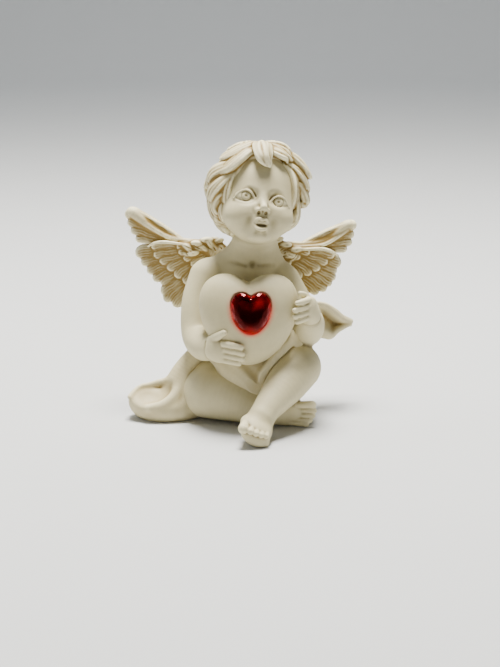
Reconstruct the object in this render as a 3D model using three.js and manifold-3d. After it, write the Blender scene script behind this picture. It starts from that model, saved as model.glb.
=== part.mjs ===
// Seated cherub figurine in cast resin, hugging a heart that is set with a red heart-cut stone.
// Millimetres, +Z up. The figure faces -Y, so its own right hand is on the -X side.
// The child is one casting. The hair, sash, heart and two wings are separate solids a glue gap away from it,
// the wings stand on tenons in sockets in the back, and the stone lies on a foil in a pocket of the heart.
import * as THREE from "three";
import { mergeVertices } from "three/addons/utils/BufferGeometryUtils.js";
import Module from "manifold-3d";

const wasm = await Module();
wasm.setup();

// ---- Driving dimensions -------------------------------------------------------------------------------------
const glueGap = 0.35; // between neighbouring castings, where the adhesive goes
const roundSides = 12; // sides of a limb's section
const fingerSides = 6;

const trunkHeight = 22.9; // pelvis centre to the base of the neck
const pelvisRadius = 6.6;
const seatFlat = 1.2; // how much of the seat is sanded off flat
const bellyRadius = 6.6;
const chestHalfWidth = 7.2;
const chestHalfDepth = 5.0;
const shoulderSpan = 14.7; // shoulder joint to shoulder joint
const shoulderRadius = 3.6;
const elbowRadius = 3.2;
const wristRadius = 2.1;
const fingerRadius = 0.62;

const neckRadius = 4.2;
const headWidth = 14.8;
const headDepth = 16.4;
const headHeight = 17.2;
const headNod = -20; // degrees, chin up
const headLean = 8; // degrees, crown towards the figure's left
const hairDepth = 2.5; // hair over the skull

const hipRadius = 5.8;
const kneeRadius = 4.5;
const calfRadius = 3.8;
const ankleRadius = 2.5;
const toeRadius = 0.85;
const footWidth = 6.0;

const heartWidth = 18.8;
const heartHeight = 17.4;
const heartThickness = 9.6;
const heartTilt = -8; // degrees, top leaning back

const stoneWidth = 7.5;
const stoneHeight = 7.6;
const stoneGirdle = 0.5; // straight rim of the stone
const stonePavilion = 1.0; // bevels above and below the rim
const stoneFacetRun = 1.25; // how far a bevel runs inwards
const stoneProud = 0.35; // how far the rim's lower edge stands above the heart
const foilThickness = 0.3;

const wingReach = 20; // root to tip
const wingThickness = 2.4;
const tenonRadius = 1.5;
const tenonLength = 3.4;
const sashThickness = 1.8;

// ---- Solids -------------------------------------------------------------------------------------------------
const point = (x, y, z) => new THREE.Vector3(x, y, z);
const plus = (a, b) => a.clone().add(b);
const between = (a, b, share) => a.clone().lerp(b, share);
const radians = (degrees) => THREE.MathUtils.degToRad(degrees);

// A closed geometry as a solid.
function solid(geometry) {
  const bare = geometry.clone();
  bare.deleteAttribute("normal");
  bare.deleteAttribute("uv");
  const merged = mergeVertices(bare, 1e-4);
  return new wasm.Manifold(
    new wasm.Mesh({
      numProp: 3,
      vertProperties: new Float32Array(merged.attributes.position.array),
      triVerts: new Uint32Array(merged.index.array),
    }),
  );
}

const joined = (solids) => solids.reduce((whole, next) => whole.add(next));
const without = (body, cutters) => cutters.reduce((left, cutter) => left.subtract(cutter), body);

// The largest body of a solid, so that a cut leaves no loose crumb behind.
function mainBody(body) {
  return body.decompose().sort((a, b) => b.volume() - a.volume())[0];
}

// The profile of a round-ended taper along +Y: an arc, a tangent flank and an arc, from pole to pole.
function taperProfile(length, startRadius, endRadius, arcSteps) {
  const flank = Math.asin((startRadius - endRadius) / length);
  const arc = (radius, height, from, to) =>
    Array.from({ length: arcSteps + 1 }, (_, i) => {
      const angle = from + ((to - from) * i) / arcSteps;
      return new THREE.Vector2(Math.max(radius * Math.cos(angle), 0), height + radius * Math.sin(angle));
    });
  const profile = [...arc(startRadius, 0, -Math.PI / 2, flank), ...arc(endRadius, length, flank, Math.PI / 2)];
  profile[0].x = 0;
  profile[profile.length - 1].x = 0;
  return profile;
}

// A round-ended taper from a to b. flat thins it along the vector facing.
function limb(a, b, startRadius, endRadius, { sides = roundSides, flat = 1, facing = null } = {}) {
  const along = b.clone().sub(a);
  const length = along.length();
  const arcSteps = sides > fingerSides ? 3 : 2;
  const geometry = new THREE.LatheGeometry(taperProfile(length, startRadius, endRadius, arcSteps), sides);
  along.normalize();
  const helper = facing ?? (Math.abs(along.z) < 0.9 ? point(0, 0, 1) : point(1, 0, 0));
  const side = new THREE.Vector3().crossVectors(along, helper).normalize();
  const thin = new THREE.Vector3().crossVectors(side, along);
  geometry.scale(1, 1, flat);
  geometry.applyMatrix4(new THREE.Matrix4().makeBasis(side, along, thin).setPosition(a));
  return solid(geometry);
}

// A run of limbs through points [place, radius].
function chain(stations, options) {
  return joined(
    stations.slice(1).map(([place, radius], i) => limb(stations[i][0], place, stations[i][1], radius, options)),
  );
}

// An ellipsoid with its half sizes along its own axes, turned by an Euler rotation.
function ball(centre, halfSizes, turn = new THREE.Euler(), widthSteps = 16, heightSteps = 10) {
  const geometry = new THREE.SphereGeometry(1, widthSteps, heightSteps);
  geometry.scale(...halfSizes);
  geometry.applyMatrix4(new THREE.Matrix4().makeRotationFromEuler(turn).setPosition(centre));
  return solid(geometry);
}

// The solid above the table.
function aboveTable(body) {
  const under = new THREE.BoxGeometry(200, 200, 40);
  under.translate(0, 0, -20);
  return body.subtract(solid(under));
}

// ---- Skeleton -----------------------------------------------------------------------------------------------
const pelvis = point(1.2, 10, pelvisRadius - seatFlat);
const neckBase = plus(pelvis, point(0.6, -1.6, trunkHeight));
const chest = plus(neckBase, point(-1.2, 0.2, -5.4));
const belly = between(pelvis, chest, 0.45).add(point(0, -1.2, 0));
const headCentre = plus(neckBase, point(1.4, -1.6, headHeight / 2 + 5.6));
const headTurn = new THREE.Euler(radians(headNod), radians(headLean), radians(6), "YXZ");

const shoulderRight = plus(neckBase, point(-shoulderSpan / 2 - 1.4, -0.2, -1.2));
const shoulderLeft = plus(neckBase, point(shoulderSpan / 2 - 1.4, 0, -2.2));

const heartCentre = plus(chest, point(0.5, -chestHalfDepth - heartThickness / 2 - 0.6, -2.0));
const heartTurn = new THREE.Euler(radians(heartTilt), 0, 0);
const onHeart = (x, y, z) => point(x, y, z).applyEuler(heartTurn).add(heartCentre);

const elbowRight = plus(shoulderRight, point(-1.8, -4.6, -10.4));
const wristRight = onHeart(-heartWidth / 2 + 2.9, -3.4, -heartHeight / 2 + 3.4);
const elbowLeft = plus(shoulderLeft, point(4.4, -4.9, -8.2));
const wristLeft = onHeart(heartWidth / 2 + 1.8, 2.2, -0.6);

const hipRight = plus(pelvis, point(-4.6, -0.6, 0.6));
const hipLeft = plus(pelvis, point(4.8, -1, 0.9));
const kneeRight = plus(hipRight, point(-3.4, -6.6, -1.2));
const kneeLeft = plus(hipLeft, point(4.6, -8.8, 4.4));
const ankleRight = plus(kneeRight, point(13.4, -5.2, -2.5));
const ankleLeft = plus(kneeLeft, point(-7.2, -10.6, -5.9));

// ---- The child: head, trunk, arms and legs in one casting ---------------------------------------------------
// Each mass takes grow, so that a neighbour can be cut back from the same mass a gap larger.
function headMass(grow = 0) {
  const place = (x, y, z) => point(x, y, z).applyEuler(headTurn).add(headCentre);
  return joined([
    ball(headCentre, [headWidth / 2 + grow, headDepth / 2 + grow, headHeight / 2 + grow], headTurn, 24, 14),
    ball(place(0, -2.6, -3.9), [headWidth / 2 - 1.2 + grow, 5.2 + grow, 4.9 + grow], headTurn, 20, 10),
    ball(place(0, -headDepth / 2 + 2.4, -headHeight / 2 + 1.1), [2.4 + grow, 1.9 + grow, 1.5 + grow], headTurn, 10, 6),
    ball(place(0, -headDepth / 2 + 0.6, -2.8), [1.0 + grow, 1.2 + grow, 0.9 + grow], headTurn, 8, 6),
  ]);
}

function trunkMass(grow = 0) {
  return joined([
    ball(pelvis, [pelvisRadius + 1 + grow, pelvisRadius + grow, pelvisRadius + grow]),
    ball(belly, [bellyRadius + grow, bellyRadius - 0.6 + grow, bellyRadius + 0.8 + grow]),
    ball(chest, [chestHalfWidth + grow, chestHalfDepth + grow, 7.4 + grow]),
    limb(shoulderRight, shoulderLeft, shoulderRadius - 0.3 + grow, shoulderRadius - 0.3 + grow),
    limb(plus(neckBase, point(0, 0, -1)), between(neckBase, headCentre, 0.6), neckRadius + 1.2 + grow, neckRadius + grow),
    limb(shoulderRight, plus(neckBase, point(-1.4, 0, 3.4)), 2.4 + grow, 3.2 + grow),
    limb(shoulderLeft, plus(neckBase, point(1.4, 0, 3.4)), 2.4 + grow, 3.2 + grow),
  ]);
}

// Four fingers laid side by side from their knuckles, and a thumb.
function hand(wrist, knuckles, tips, thumbTip, facing, grow) {
  const palm = between(knuckles[0], knuckles[3], 0.5);
  const fingers = knuckles.map((knuckle, i) =>
    limb(knuckle, tips[i], fingerRadius + 0.12 + grow, fingerRadius - 0.08 + grow, { sides: fingerSides }),
  );
  return joined([
    limb(wrist, palm, wristRadius + grow, 2.15 + grow, { flat: 0.72, facing }),
    ...fingers,
    limb(between(wrist, knuckles[0], 0.35), thumbTip, fingerRadius + 0.3 + grow, fingerRadius + grow, { sides: fingerSides }),
  ]);
}

function armMass(grow = 0) {
  const rightKnuckles = [0, 1, 2, 3].map((i) => onHeart(-5.0 + 0.1 * i, -4.75 + 0.55 * i, -3.3 - 1.2 * i));
  const rightTips = rightKnuckles.map((k, i) => plus(k, point(3.5 - 0.3 * Math.abs(i - 1), -0.6 + 0.2 * i, 0.1)));
  const leftKnuckles = [0, 1, 2, 3].map((i) => onHeart(heartWidth / 2 + 2.0, -0.6, 3.4 - 1.2 * i));
  const leftTips = leftKnuckles.map((k) => plus(k, point(-3.0, -2.6, 0.7)));
  return joined([
    chain([[shoulderRight, shoulderRadius + grow], [elbowRight, elbowRadius + grow], [wristRight, wristRadius + 0.3 + grow]]),
    chain([[shoulderLeft, shoulderRadius + grow], [elbowLeft, elbowRadius + grow], [wristLeft, wristRadius + 0.3 + grow]]),
    hand(wristRight, rightKnuckles, rightTips, onHeart(-4.9, -5.0, -1.0), point(0.3, 1, 0.2), grow),
    hand(wristLeft, leftKnuckles, leftTips, onHeart(heartWidth / 2 + 0.4, 2.0, 4.4), point(1, 0.5, 0), grow),
  ]);
}

// A foot from its ankle: heel, ball and a row of five toes. width runs from the big toe to the little one.
function foot(ankle, heel, ballOfFoot, width, toeWay, grow) {
  const across = width.clone().normalize();
  const sole = new THREE.Vector3().crossVectors(across, toeWay).normalize();
  const toes = [-1, -0.5, -0.02, 0.42, 0.82].map((share, i) => {
    const root = plus(ballOfFoot, across.clone().multiplyScalar((share * footWidth) / 2.35));
    const radius = toeRadius * (1.12 - 0.1 * i) + grow;
    return limb(root, plus(root, toeWay.clone().multiplyScalar(footWidth * (0.56 - 0.05 * i))), radius, radius - 0.1, {
      sides: fingerSides,
    });
  });
  return joined([
    limb(ankle, heel, ankleRadius + grow, 2.2 + grow),
    limb(heel, ballOfFoot, 2.1 + grow, footWidth / 2 + grow, { flat: 0.58, facing: sole }),
    limb(ankle, ballOfFoot, ankleRadius - 0.1 + grow, 1.9 + grow, { flat: 0.8, facing: sole }),
    ...toes,
  ]);
}

function legMass(grow = 0) {
  const leftHeel = plus(ankleLeft, point(-0.2, 0, -2.2));
  const leftBall = plus(ankleLeft, point(-0.9, -2.2, -1.9));
  const rightHeel = plus(ankleRight, point(0.6, 0.6, -0.3));
  const rightBall = plus(ankleRight, point(2.8, 0.2, 0.1));
  return joined([
    chain([[hipRight, hipRadius + grow], [kneeRight, kneeRadius + 0.8 + grow]]),
    chain([
      [kneeRight, kneeRadius + 0.6 + grow],
      [between(kneeRight, ankleRight, 0.4), calfRadius + 0.3 + grow],
      [ankleRight, ankleRadius + grow],
    ]),
    chain([[hipLeft, hipRadius + grow], [kneeLeft, kneeRadius + grow]]),
    chain([
      [kneeLeft, kneeRadius - 0.2 + grow],
      [between(kneeLeft, ankleLeft, 0.4), calfRadius + grow],
      [ankleLeft, ankleRadius + grow],
    ]),
    foot(ankleLeft, leftHeel, leftBall, point(5.5, -1.2, -2.4), point(-0.25, -0.93, 0.12).normalize(), grow),
    foot(ankleRight, rightHeel, rightBall, point(-1.0, -0.8, -4.8), point(0.99, 0.1, 0.0).normalize(), grow),
  ]);
}

// ---- The heart ----------------------------------------------------------------------------------------------
// The outline at angle t from its notch: sums of sines in x and of cosines in z, scaled to the width and height.
function heartOutline(t, width, height) {
  const x = 0.848 * Math.sin(t) - 0.028 * Math.sin(2 * t) - 0.152 * Math.sin(3 * t);
  const z = 1.004 * Math.cos(t) - 0.209 * Math.cos(2 * t) - 0.142 * Math.cos(3 * t) + 0.018 * Math.cos(4 * t);
  return new THREE.Vector2((x * width) / 2, ((z + 0.13) * height) / 1.846);
}

// A pillow on that outline: the outline shrinks by a power of cos v as the face rises by sin v.
function heartSolid(grow = 0) {
  const geometry = new THREE.SphereGeometry(1, 36, 16);
  const places = geometry.attributes.position;
  for (let i = 0; i < places.count; i++) {
    const rise = THREE.MathUtils.clamp(places.getY(i), -1, 1);
    const edge = Math.pow(Math.max(1 - rise * rise, 0), 0.42);
    const angle = Math.atan2(places.getX(i), places.getZ(i));
    const rim = heartOutline(angle, heartWidth + 2 * grow, heartHeight + 2 * grow).multiplyScalar(edge);
    places.setXYZ(i, rim.x, (rise * (heartThickness + 2 * grow)) / 2, rim.y);
  }
  geometry.applyMatrix4(new THREE.Matrix4().makeRotationFromEuler(heartTurn).setPosition(heartCentre));
  return solid(geometry);
}

// ---- The stone and its foil ---------------------------------------------------------------------------------
const stoneCentre = [0.45, 1.65]; // across and up the heart from its middle
const facetCount = 22;

// The outline inside the bevels, which every layer grows from by a plain offset.
const stoneTable = new THREE.Shape(
  Array.from({ length: facetCount }, (_, i) =>
    heartOutline(
      ((i + 0.5) / facetCount) * 2 * Math.PI,
      stoneWidth - 2 * stoneFacetRun,
      stoneHeight - 2 * stoneFacetRun,
    ),
  ).reverse(),
);

// An extrusion of the outline grown by reach, with a bevel of rise at both ends. start and depth bound the
// straight rim between the bevels and are measured outwards from the crown of the heart's face.
function stoneLayer(reach, start, depth, rise = 0.02, run = 0) {
  const geometry = new THREE.ExtrudeGeometry(stoneTable, {
    depth,
    bevelSegments: 1,
    bevelThickness: rise,
    bevelSize: run,
    bevelOffset: reach - run,
  });
  geometry.translate(stoneCentre[0], stoneCentre[1], heartThickness / 2 + start);
  geometry.rotateX(Math.PI / 2);
  geometry.applyMatrix4(new THREE.Matrix4().makeRotationFromEuler(heartTurn).setPosition(heartCentre));
  return solid(geometry);
}

const rimStart = stoneProud - 0.5; // the heart's face falls away towards the stone's rim
const foilStart = rimStart - stonePavilion - glueGap - foilThickness;
const stone = stoneLayer(stoneFacetRun, rimStart, stoneGirdle, stonePavilion, stoneFacetRun);
const foil = stoneLayer(0.6, foilStart, foilThickness);
const pocket = stoneLayer(stoneFacetRun + glueGap, foilStart - glueGap, heartThickness);

// ---- Wings --------------------------------------------------------------------------------------------------
// side is -1 for the figure's right wing and 1 for its left. Feathers fan out from the arm of the wing.
const wingRoot = (side) => plus(chest, point(side * 3.2 - 1.0, chestHalfDepth + 0.2, 7.8));

function wing(side) {
  const lift = side < 0 ? 0 : -7; // degrees: the left wing is carried lower
  const turn = new THREE.Euler(0, radians(-side * lift), radians(side * 4), "ZYX");
  const root = wingRoot(side);
  const place = (x, y, z) => point((side * x * wingReach) / 20, y, z).applyEuler(turn).add(root);
  const face = place(0, 1, 0).sub(root);
  const arm = [
    [place(0.8, 0.2, 0.6), 2.1],
    [place(8.0, 0.3, 1.2), 1.7],
    [place(13.4, 0.6, 3.2), 1.4],
    [place(18.6, 0.9, 8.2), 1.2],
  ];
  const feather = (fromX, fromZ, toX, toZ, radius) =>
    limb(place(fromX, 0.3, fromZ), place(toX, 0.8, toZ), radius * 0.7, radius, {
      sides: 10,
      flat: wingThickness / 2 / radius,
      facing: face,
    });
  return joined([
    chain(arm, { sides: 10, flat: 0.8, facing: face }),
    feather(9, 1, 18.4, 5.8, 2.0),
    feather(8, 1, 16.4, 1.6, 2.4),
    feather(7, 0, 15.4, -1.4, 2.5),
    feather(6, -0.5, 13.8, -4.6, 2.5),
    feather(5, -1.0, 11.8, -7.2, 2.4),
    feather(4, -1.5, 9.8, -9.4, 2.4),
    feather(2, -0.5, 7.4, -8.6, 2.4),
    limb(place(0.6, 0.3, -1.4), place(5.4, 0.3, -4.0), 2.4, 3.2, { sides: 10, flat: 0.45, facing: face }),
  ]);
}

// The tenon runs forward from the wing's root into the back.
function tenon(side, grow = 0) {
  const root = plus(wingRoot(side), point(0, -0.4, -2.6));
  return limb(plus(root, point(0, 0.6, 0)), plus(root, point(0, -tenonLength, 0)), tenonRadius + grow, tenonRadius - 0.3 + grow, {
    sides: 12,
  });
}

// ---- Hair ---------------------------------------------------------------------------------------------------
function hairMass() {
  const place = (x, y, z) => point(x, y, z).applyEuler(headTurn).add(headCentre);
  const lock = (from, to, startRadius, endRadius) =>
    limb(place(...from), place(...to), startRadius, endRadius, { sides: 8 });
  const cap = ball(
    place(0, 1.6, 1.2),
    [headWidth / 2 + hairDepth, headDepth / 2 + hairDepth - 0.7, headHeight / 2 + hairDepth - 0.7],
    headTurn,
    24,
    14,
  );
  const faceOpening = ball(place(0, -headDepth / 2 - 1.4, -2.6), [6.5, 6.6, 8.4], headTurn, 20, 12);
  return joined([
    cap.subtract(faceOpening),
    lock([-1.5, -6.0, 8.5], [1.6, -8.0, 6.0], 1.8, 1.2),
    lock([-1.0, -5.2, 8.6], [-6.4, -5.0, 5.6], 1.9, 1.6),
    lock([1.5, -5.4, 8.6], [5.9, -5.2, 6.2], 2.0, 1.6),
    lock([-6.4, -4.6, 5.0], [-8.6, -2.6, 1.4], 1.8, 1.9),
    lock([-8.6, -2.6, 1.4], [-7.6, -3.2, -3.4], 1.9, 1.6),
    lock([-7.4, -2.6, -3.2], [-6.0, -1.6, -7.4], 1.7, 1.0),
    lock([6.2, -4.6, 5.6], [9.0, -2.4, 3.0], 1.8, 1.4),
    lock([8.2, -2.8, 2.4], [8.2, -2.8, -1.6], 1.9, 1.7),
    lock([8.0, -2.2, -1.8], [6.4, -1.4, -7.2], 1.6, 1.0),
  ]);
}

// ---- Sash: a tail on the table, over the hip, across the lap, under the left arm and out in a flying tail ------
function sashMass() {
  const strip = (stations, facing, flat) => chain(stations, { sides: 10, flat, facing });
  const hipSide = plus(hipRight, point(-4.8, -4.2, 6.6));
  const tailTurn = plus(hipRight, point(-9.6, -4.4, -1.6));
  const tail = strip(
    [
      [hipSide, 2.4],
      [plus(hipSide, point(-3.0, -0.4, -4.2)), 3.0],
      [tailTurn, 4.3],
      [plus(tailTurn, point(-5.0, -1.4, -1.0)), 4.2],
    ],
    point(0.1, 0.9, 0.5),
    0.62,
  );
  const lapFoot = plus(pelvis, point(0.8, -8.6, -0.3));
  const lapTop = point(lapFoot.x, lapFoot.y, onHeart(0, 0, -heartHeight / 2).z + 2.0);
  const lapMiddle = between(lapFoot, lapTop, 0.5); // the cloth fills the lap up to the heart's tip
  const elbowSide = plus(elbowLeft, point(-3.8, -1.2, -2.2));
  const lap = joined([
    ball(lapMiddle, [5.4, 3.2, lapTop.distanceTo(lapFoot) / 2]),
    strip([[hipSide, 2.2], [plus(lapMiddle, point(-3.6, 0.6, 2.4)), 2.8], [lapMiddle, 3.2]], point(0, 1, 0.4), 0.7),
    strip([[lapMiddle, 3.2], [elbowSide, 2.4]], point(0.3, 1, 0), 0.6),
  ]);
  const flying = strip(
    [
      [elbowSide, 2.2],
      [plus(elbowLeft, point(0.8, 5.8, 0.6)), 3.4],
      [plus(elbowLeft, point(4.6, 7.0, -0.2)), 3.2],
      [plus(elbowLeft, point(9.0, 7.6, -0.8)), 0.9],
    ],
    point(-0.2, 1, 0.2),
    sashThickness / 4,
  );
  return joined([tail, lap, flying]);
}

// ---- Fitting the pieces to each other -----------------------------------------------------------------------
const socketCutters = [-1, 1].map((side) => tenon(side, glueGap));
const heartClear = heartSolid(glueGap);
const childWhole = aboveTable(joined([headMass(), trunkMass(), armMass(), legMass()]));
const childClear = joined([headMass(glueGap), trunkMass(glueGap), armMass(glueGap), legMass(glueGap)]);
const wingSolids = [-1, 1].map((side) => joined([without(wing(side), [childClear]), tenon(side)]));

const child = mainBody(without(childWhole, [heartClear, ...socketCutters]));
const hair = mainBody(without(hairMass(), [childClear]));
const heart = mainBody(without(heartSolid(), [pocket]));
const sash = mainBody(without(aboveTable(sashMass()), [childClear, heartClear]));

// ---- The assembly -------------------------------------------------------------------------------------------
const creamResin = new THREE.MeshStandardMaterial({ color: 0xcfc6a8, roughness: 0.62, metalness: 0 });
const washedResin = new THREE.MeshStandardMaterial({ color: 0xc2a768, roughness: 0.66, metalness: 0 });
const sashResin = new THREE.MeshStandardMaterial({ color: 0xc4b58a, roughness: 0.64, metalness: 0 });
const redAcrylic = new THREE.MeshStandardMaterial({ color: 0x8a0410, roughness: 0.05, metalness: 0 });
const mirrorFoil = new THREE.MeshStandardMaterial({ color: 0xd8d8d8, roughness: 0.1, metalness: 1 });

// A named mesh of a solid.
function piece(name, body, material) {
  const mesh = body.getMesh();
  const geometry = new THREE.BufferGeometry();
  geometry.setAttribute("position", new THREE.BufferAttribute(mesh.vertProperties, 3));
  geometry.setIndex(new THREE.BufferAttribute(mesh.triVerts, 1));
  geometry.computeVertexNormals();
  const made = new THREE.Mesh(geometry, material);
  made.name = name;
  return made;
}

const figurine = new THREE.Group();
figurine.add(
  piece("child", child, creamResin),
  piece("hair", hair, washedResin),
  piece("sash", sash, sashResin),
  piece("heart", heart, creamResin),
  piece("wing_right", mainBody(wingSolids[0]), washedResin),
  piece("wing_left", mainBody(wingSolids[1]), washedResin),
  piece("heart_stone", stone, redAcrylic),
  piece("stone_foil", foil, mirrorFoil),
);

// The origin is the middle of the footprint's box, on the table.
const box = new THREE.Box3().setFromObject(figurine);
const middle = box.getCenter(new THREE.Vector3());
figurine.position.set(-middle.x, -middle.y, -box.min.z);

export default figurine;
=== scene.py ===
"""A seated cherub figurine in cream cast resin, hugging a heart that is set with a red stone.

Every size in this file is in millimetres in the figurine's own frame, which is the frame of the CAD solids
moved so that the seat's centre comes to SEAT. in_metres() takes a point from there to the scene.
"""

import bpy
import numpy as np
from bpy.props import FloatProperty, FloatVectorProperty, PointerProperty
from bpy.types import Operator, Panel, PropertyGroup
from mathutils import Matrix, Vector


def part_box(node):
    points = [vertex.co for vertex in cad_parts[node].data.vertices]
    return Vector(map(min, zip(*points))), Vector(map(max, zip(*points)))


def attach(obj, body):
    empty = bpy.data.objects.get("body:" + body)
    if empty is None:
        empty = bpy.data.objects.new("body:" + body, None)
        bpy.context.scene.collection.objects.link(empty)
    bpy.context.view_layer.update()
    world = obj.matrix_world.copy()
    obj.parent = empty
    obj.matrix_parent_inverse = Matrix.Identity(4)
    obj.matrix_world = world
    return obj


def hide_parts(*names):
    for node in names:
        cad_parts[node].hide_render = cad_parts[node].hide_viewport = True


bl_info = {
    "name": "Cherub figurine",
    "version": (1, 0, 0),
    "blender": (4, 5, 0),
    "location": "View3D > Sidebar > Cherub",
    "description": "Models a small resin cherub with its hair, wings, sash, heart and stone",
    "category": "Add Mesh",
}

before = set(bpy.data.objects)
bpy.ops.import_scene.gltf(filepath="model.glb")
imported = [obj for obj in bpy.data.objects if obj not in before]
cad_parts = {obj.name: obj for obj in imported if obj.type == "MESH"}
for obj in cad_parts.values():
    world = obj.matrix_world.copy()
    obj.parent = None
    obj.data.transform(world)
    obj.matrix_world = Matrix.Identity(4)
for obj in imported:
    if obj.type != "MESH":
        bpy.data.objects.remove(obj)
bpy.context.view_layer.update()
MM = 0.001
SEAT = np.array([1.2, 10.0, 5.4])  # centre of the seat, above the table at height 0
SEAT_SHARES = (0.4843, 0.798, 0.106)  # where that is in the box of the child's solid


def node_point(node, share):
    """The point at the given shares of a CAD node's box, in millimetres."""
    low, high = (np.array(corner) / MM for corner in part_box(node))
    return low + (high - low) * np.array(share)


ORIGIN = node_point("child", SEAT_SHARES) - SEAT


def node_span(node):
    """The two corners of a CAD node's box, in the frame that this file's sizes are in."""
    return node_point(node, (0, 0, 0)) - ORIGIN, node_point(node, (1, 1, 1)) - ORIGIN


def in_metres(points):
    return (np.asarray(points, dtype=np.float64) + ORIGIN) * MM


# ---- Sizes and colours a user would change -------------------------------------------


def millimetres(name, description, default, low=0.0, high=20.0):
    return FloatProperty(name=name, description=description, default=default, min=low, max=high, precision=3)


def colour(name, description, default):
    return FloatVectorProperty(
        name=name, description=description, default=default, subtype="COLOR", size=3, min=0.0, max=1.0
    )


class CherubSizes(PropertyGroup):
    """Sizes of the modelled detail, in millimetres unless a name says otherwise."""

    skin_grain: millimetres("Skin cell", "Cell of the grid the body's skin is drawn from", 0.24, 0.1, 1.0)
    face_grain: millimetres("Face cell", "Cell of the grid the head's skin is drawn from", 0.14, 0.08, 1.0)
    wing_grain: millimetres("Wing cell", "Cell of the grid a wing is drawn from", 0.16, 0.08, 1.0)
    cloth_grain: millimetres("Cloth cell", "Cell of the grid the sash is drawn from", 0.2, 0.1, 1.0)
    hair_grain: millimetres("Hair cell", "Voxel the locks are fused with", 0.16, 0.1, 1.0)
    strand_depth: millimetres("Strand groove", "Depth of the grooves between strands of hair", 0.34, 0.0, 1.0)
    barb_depth: millimetres("Feather groove", "Depth of the grooves that run along a feather", 0.12, 0.0, 0.5)
    barb_pitch: millimetres("Feather groove pitch", "Distance from groove to groove", 0.5, 0.2, 2.0)
    cloth_thickness: millimetres("Cloth thickness", "Thickness of the flying end of the sash", 0.9, 0.3, 3.0)
    stone_width: millimetres("Stone width", "Width of the heart-cut stone", 7.5, 3.0, 12.0)
    stone_height: millimetres("Stone height", "Height of the heart-cut stone", 7.6, 3.0, 12.0)


class CherubColours(PropertyGroup):
    """Colours of the paint, the stone and the studio."""

    cream: colour("Cream", "Cast resin's own colour", (0.64, 0.57, 0.345))
    ochre: colour("Ochre wash", "Wash that lies in the recesses", (0.27, 0.172, 0.04))
    # Partly painted shade: besides a thin wash in creases, this colour darkens the recesses of the skin and
    # the heart, broad ones too, as shade would.
    shade: colour("Flesh shade", "Thin olive wash on skin recesses", (0.22, 0.17, 0.07))
    chalk: colour("Chalk", "Dry-brushed highlight on raised edges", (0.94, 0.87, 0.58))
    stone: colour("Stone red", "Tint of the clear acrylic stone", (0.2, 0.001, 0.002))
    floor: colour("Floor", "Pale studio floor", (0.60, 0.605, 0.60))


def sizes():
    return bpy.context.scene.cherub_sizes


def colours():
    return bpy.context.scene.cherub_colours


# ---- Turning and placing -------------------------------------------------------------


def turning(x=0.0, y=0.0, z=0.0):
    """The matrix that turns about X, then Y, then Z, by degrees."""
    (cx, cy, cz), (sx, sy, sz) = (f(np.radians([x, y, z])) for f in (np.cos, np.sin))
    about_x = np.array([[1, 0, 0], [0, cx, -sx], [0, sx, cx]])
    about_y = np.array([[cy, 0, sy], [0, 1, 0], [-sy, 0, cy]])
    about_z = np.array([[cz, -sz, 0], [sz, cz, 0], [0, 0, 1]])
    return about_z @ about_y @ about_x


HEAD = SEAT + (1.3, -3.0, 37.6)
HEAD_TURN = turning(-20.0, 8.0, 9.0)  # chin up, crown and gaze to the figure's left
HEART = SEAT + (-0.1, -11.8, 15.5)
HEART_TURN = turning(-8.0)
SKULL_HALF = np.array([7.3, 7.9, 8.2])
SKULL_AT = np.array([0, 0.5, 0.8])  # in the head's own frame


def on_head(x, y, z):
    return HEAD + HEAD_TURN @ np.array([x, y, z])


def smooth_path(stations, per_span=7):
    """Stations of numbers joined by a Catmull-Rom curve: each span is a cubic through its two ends
    whose slopes are half the step between the neighbours."""
    s = np.array(stations, dtype=np.float64)
    ends = np.vstack([2 * s[0] - s[1], s, 2 * s[-1] - s[-2]])
    t = np.linspace(0, 1, per_span, endpoint=False)[:, None]
    spans = [
        0.5 * (2 * b + (c - a) * t + (2 * a - 5 * b + 4 * c - d) * t**2 + (3 * b - a - 3 * c + d) * t**3)
        for a, b, c, d in zip(ends, ends[1:], ends[2:], ends[3:], strict=False)
    ]
    return np.vstack([*spans, s[-1:]])


# ---- Clay: masses melted into a grid of distances ------------------------------------
# A child's limbs flow into each other with no seam, which no single grid of two parameters follows. So
# the masses are given as distances, melted together on a grid, and the skin is drawn where the distance
# is zero.


def melted(a, b, blend):
    """The nearer of two distances, lowered by h squared times a quarter of blend, where h is how far
    the two agree: a fillet of about that radius."""
    if blend <= 0:
        return np.minimum(a, b)
    h = np.maximum(blend - np.abs(a - b), 0) / blend
    return np.minimum(a, b) - h * h * blend * 0.25


def limb(*stations):
    """Round-ended limb through (point, radius) stations: the distance to the nearest span of the curve,
    less the radius there."""
    path = smooth_path([[*place, radius] for place, radius in stations], 6)
    low = (path[:, :3] - path[:, 3:]).min(0)
    high = (path[:, :3] + path[:, 3:]).max(0)
    middle = path[:, :3].mean(0)
    line = path[:, :3] - middle

    def distance(p):
        q = p - middle
        nearest = None
        for a, b, ra, rb in zip(line, line[1:], path[:, 3], path[1:, 3], strict=False):
            way = b - a
            t = np.clip(((q - a) @ way) / max(way @ way, 1e-9), 0, 1)
            d = np.linalg.norm(q - a - t[..., None] * way, axis=-1) - (ra + (rb - ra) * t)
            nearest = d if nearest is None else np.minimum(nearest, d)
        return nearest

    return low, high, distance


def from_seat(*stations):
    """A limb through (x, y, z, radius) stations measured from the seat."""
    return limb(*((SEAT + place, radius) for *place, radius in stations))


def from_head(*stations):
    """A limb through (x, y, z, radius) stations in the head's own frame."""
    return limb(*((on_head(*place), radius) for *place, radius in stations))


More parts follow.
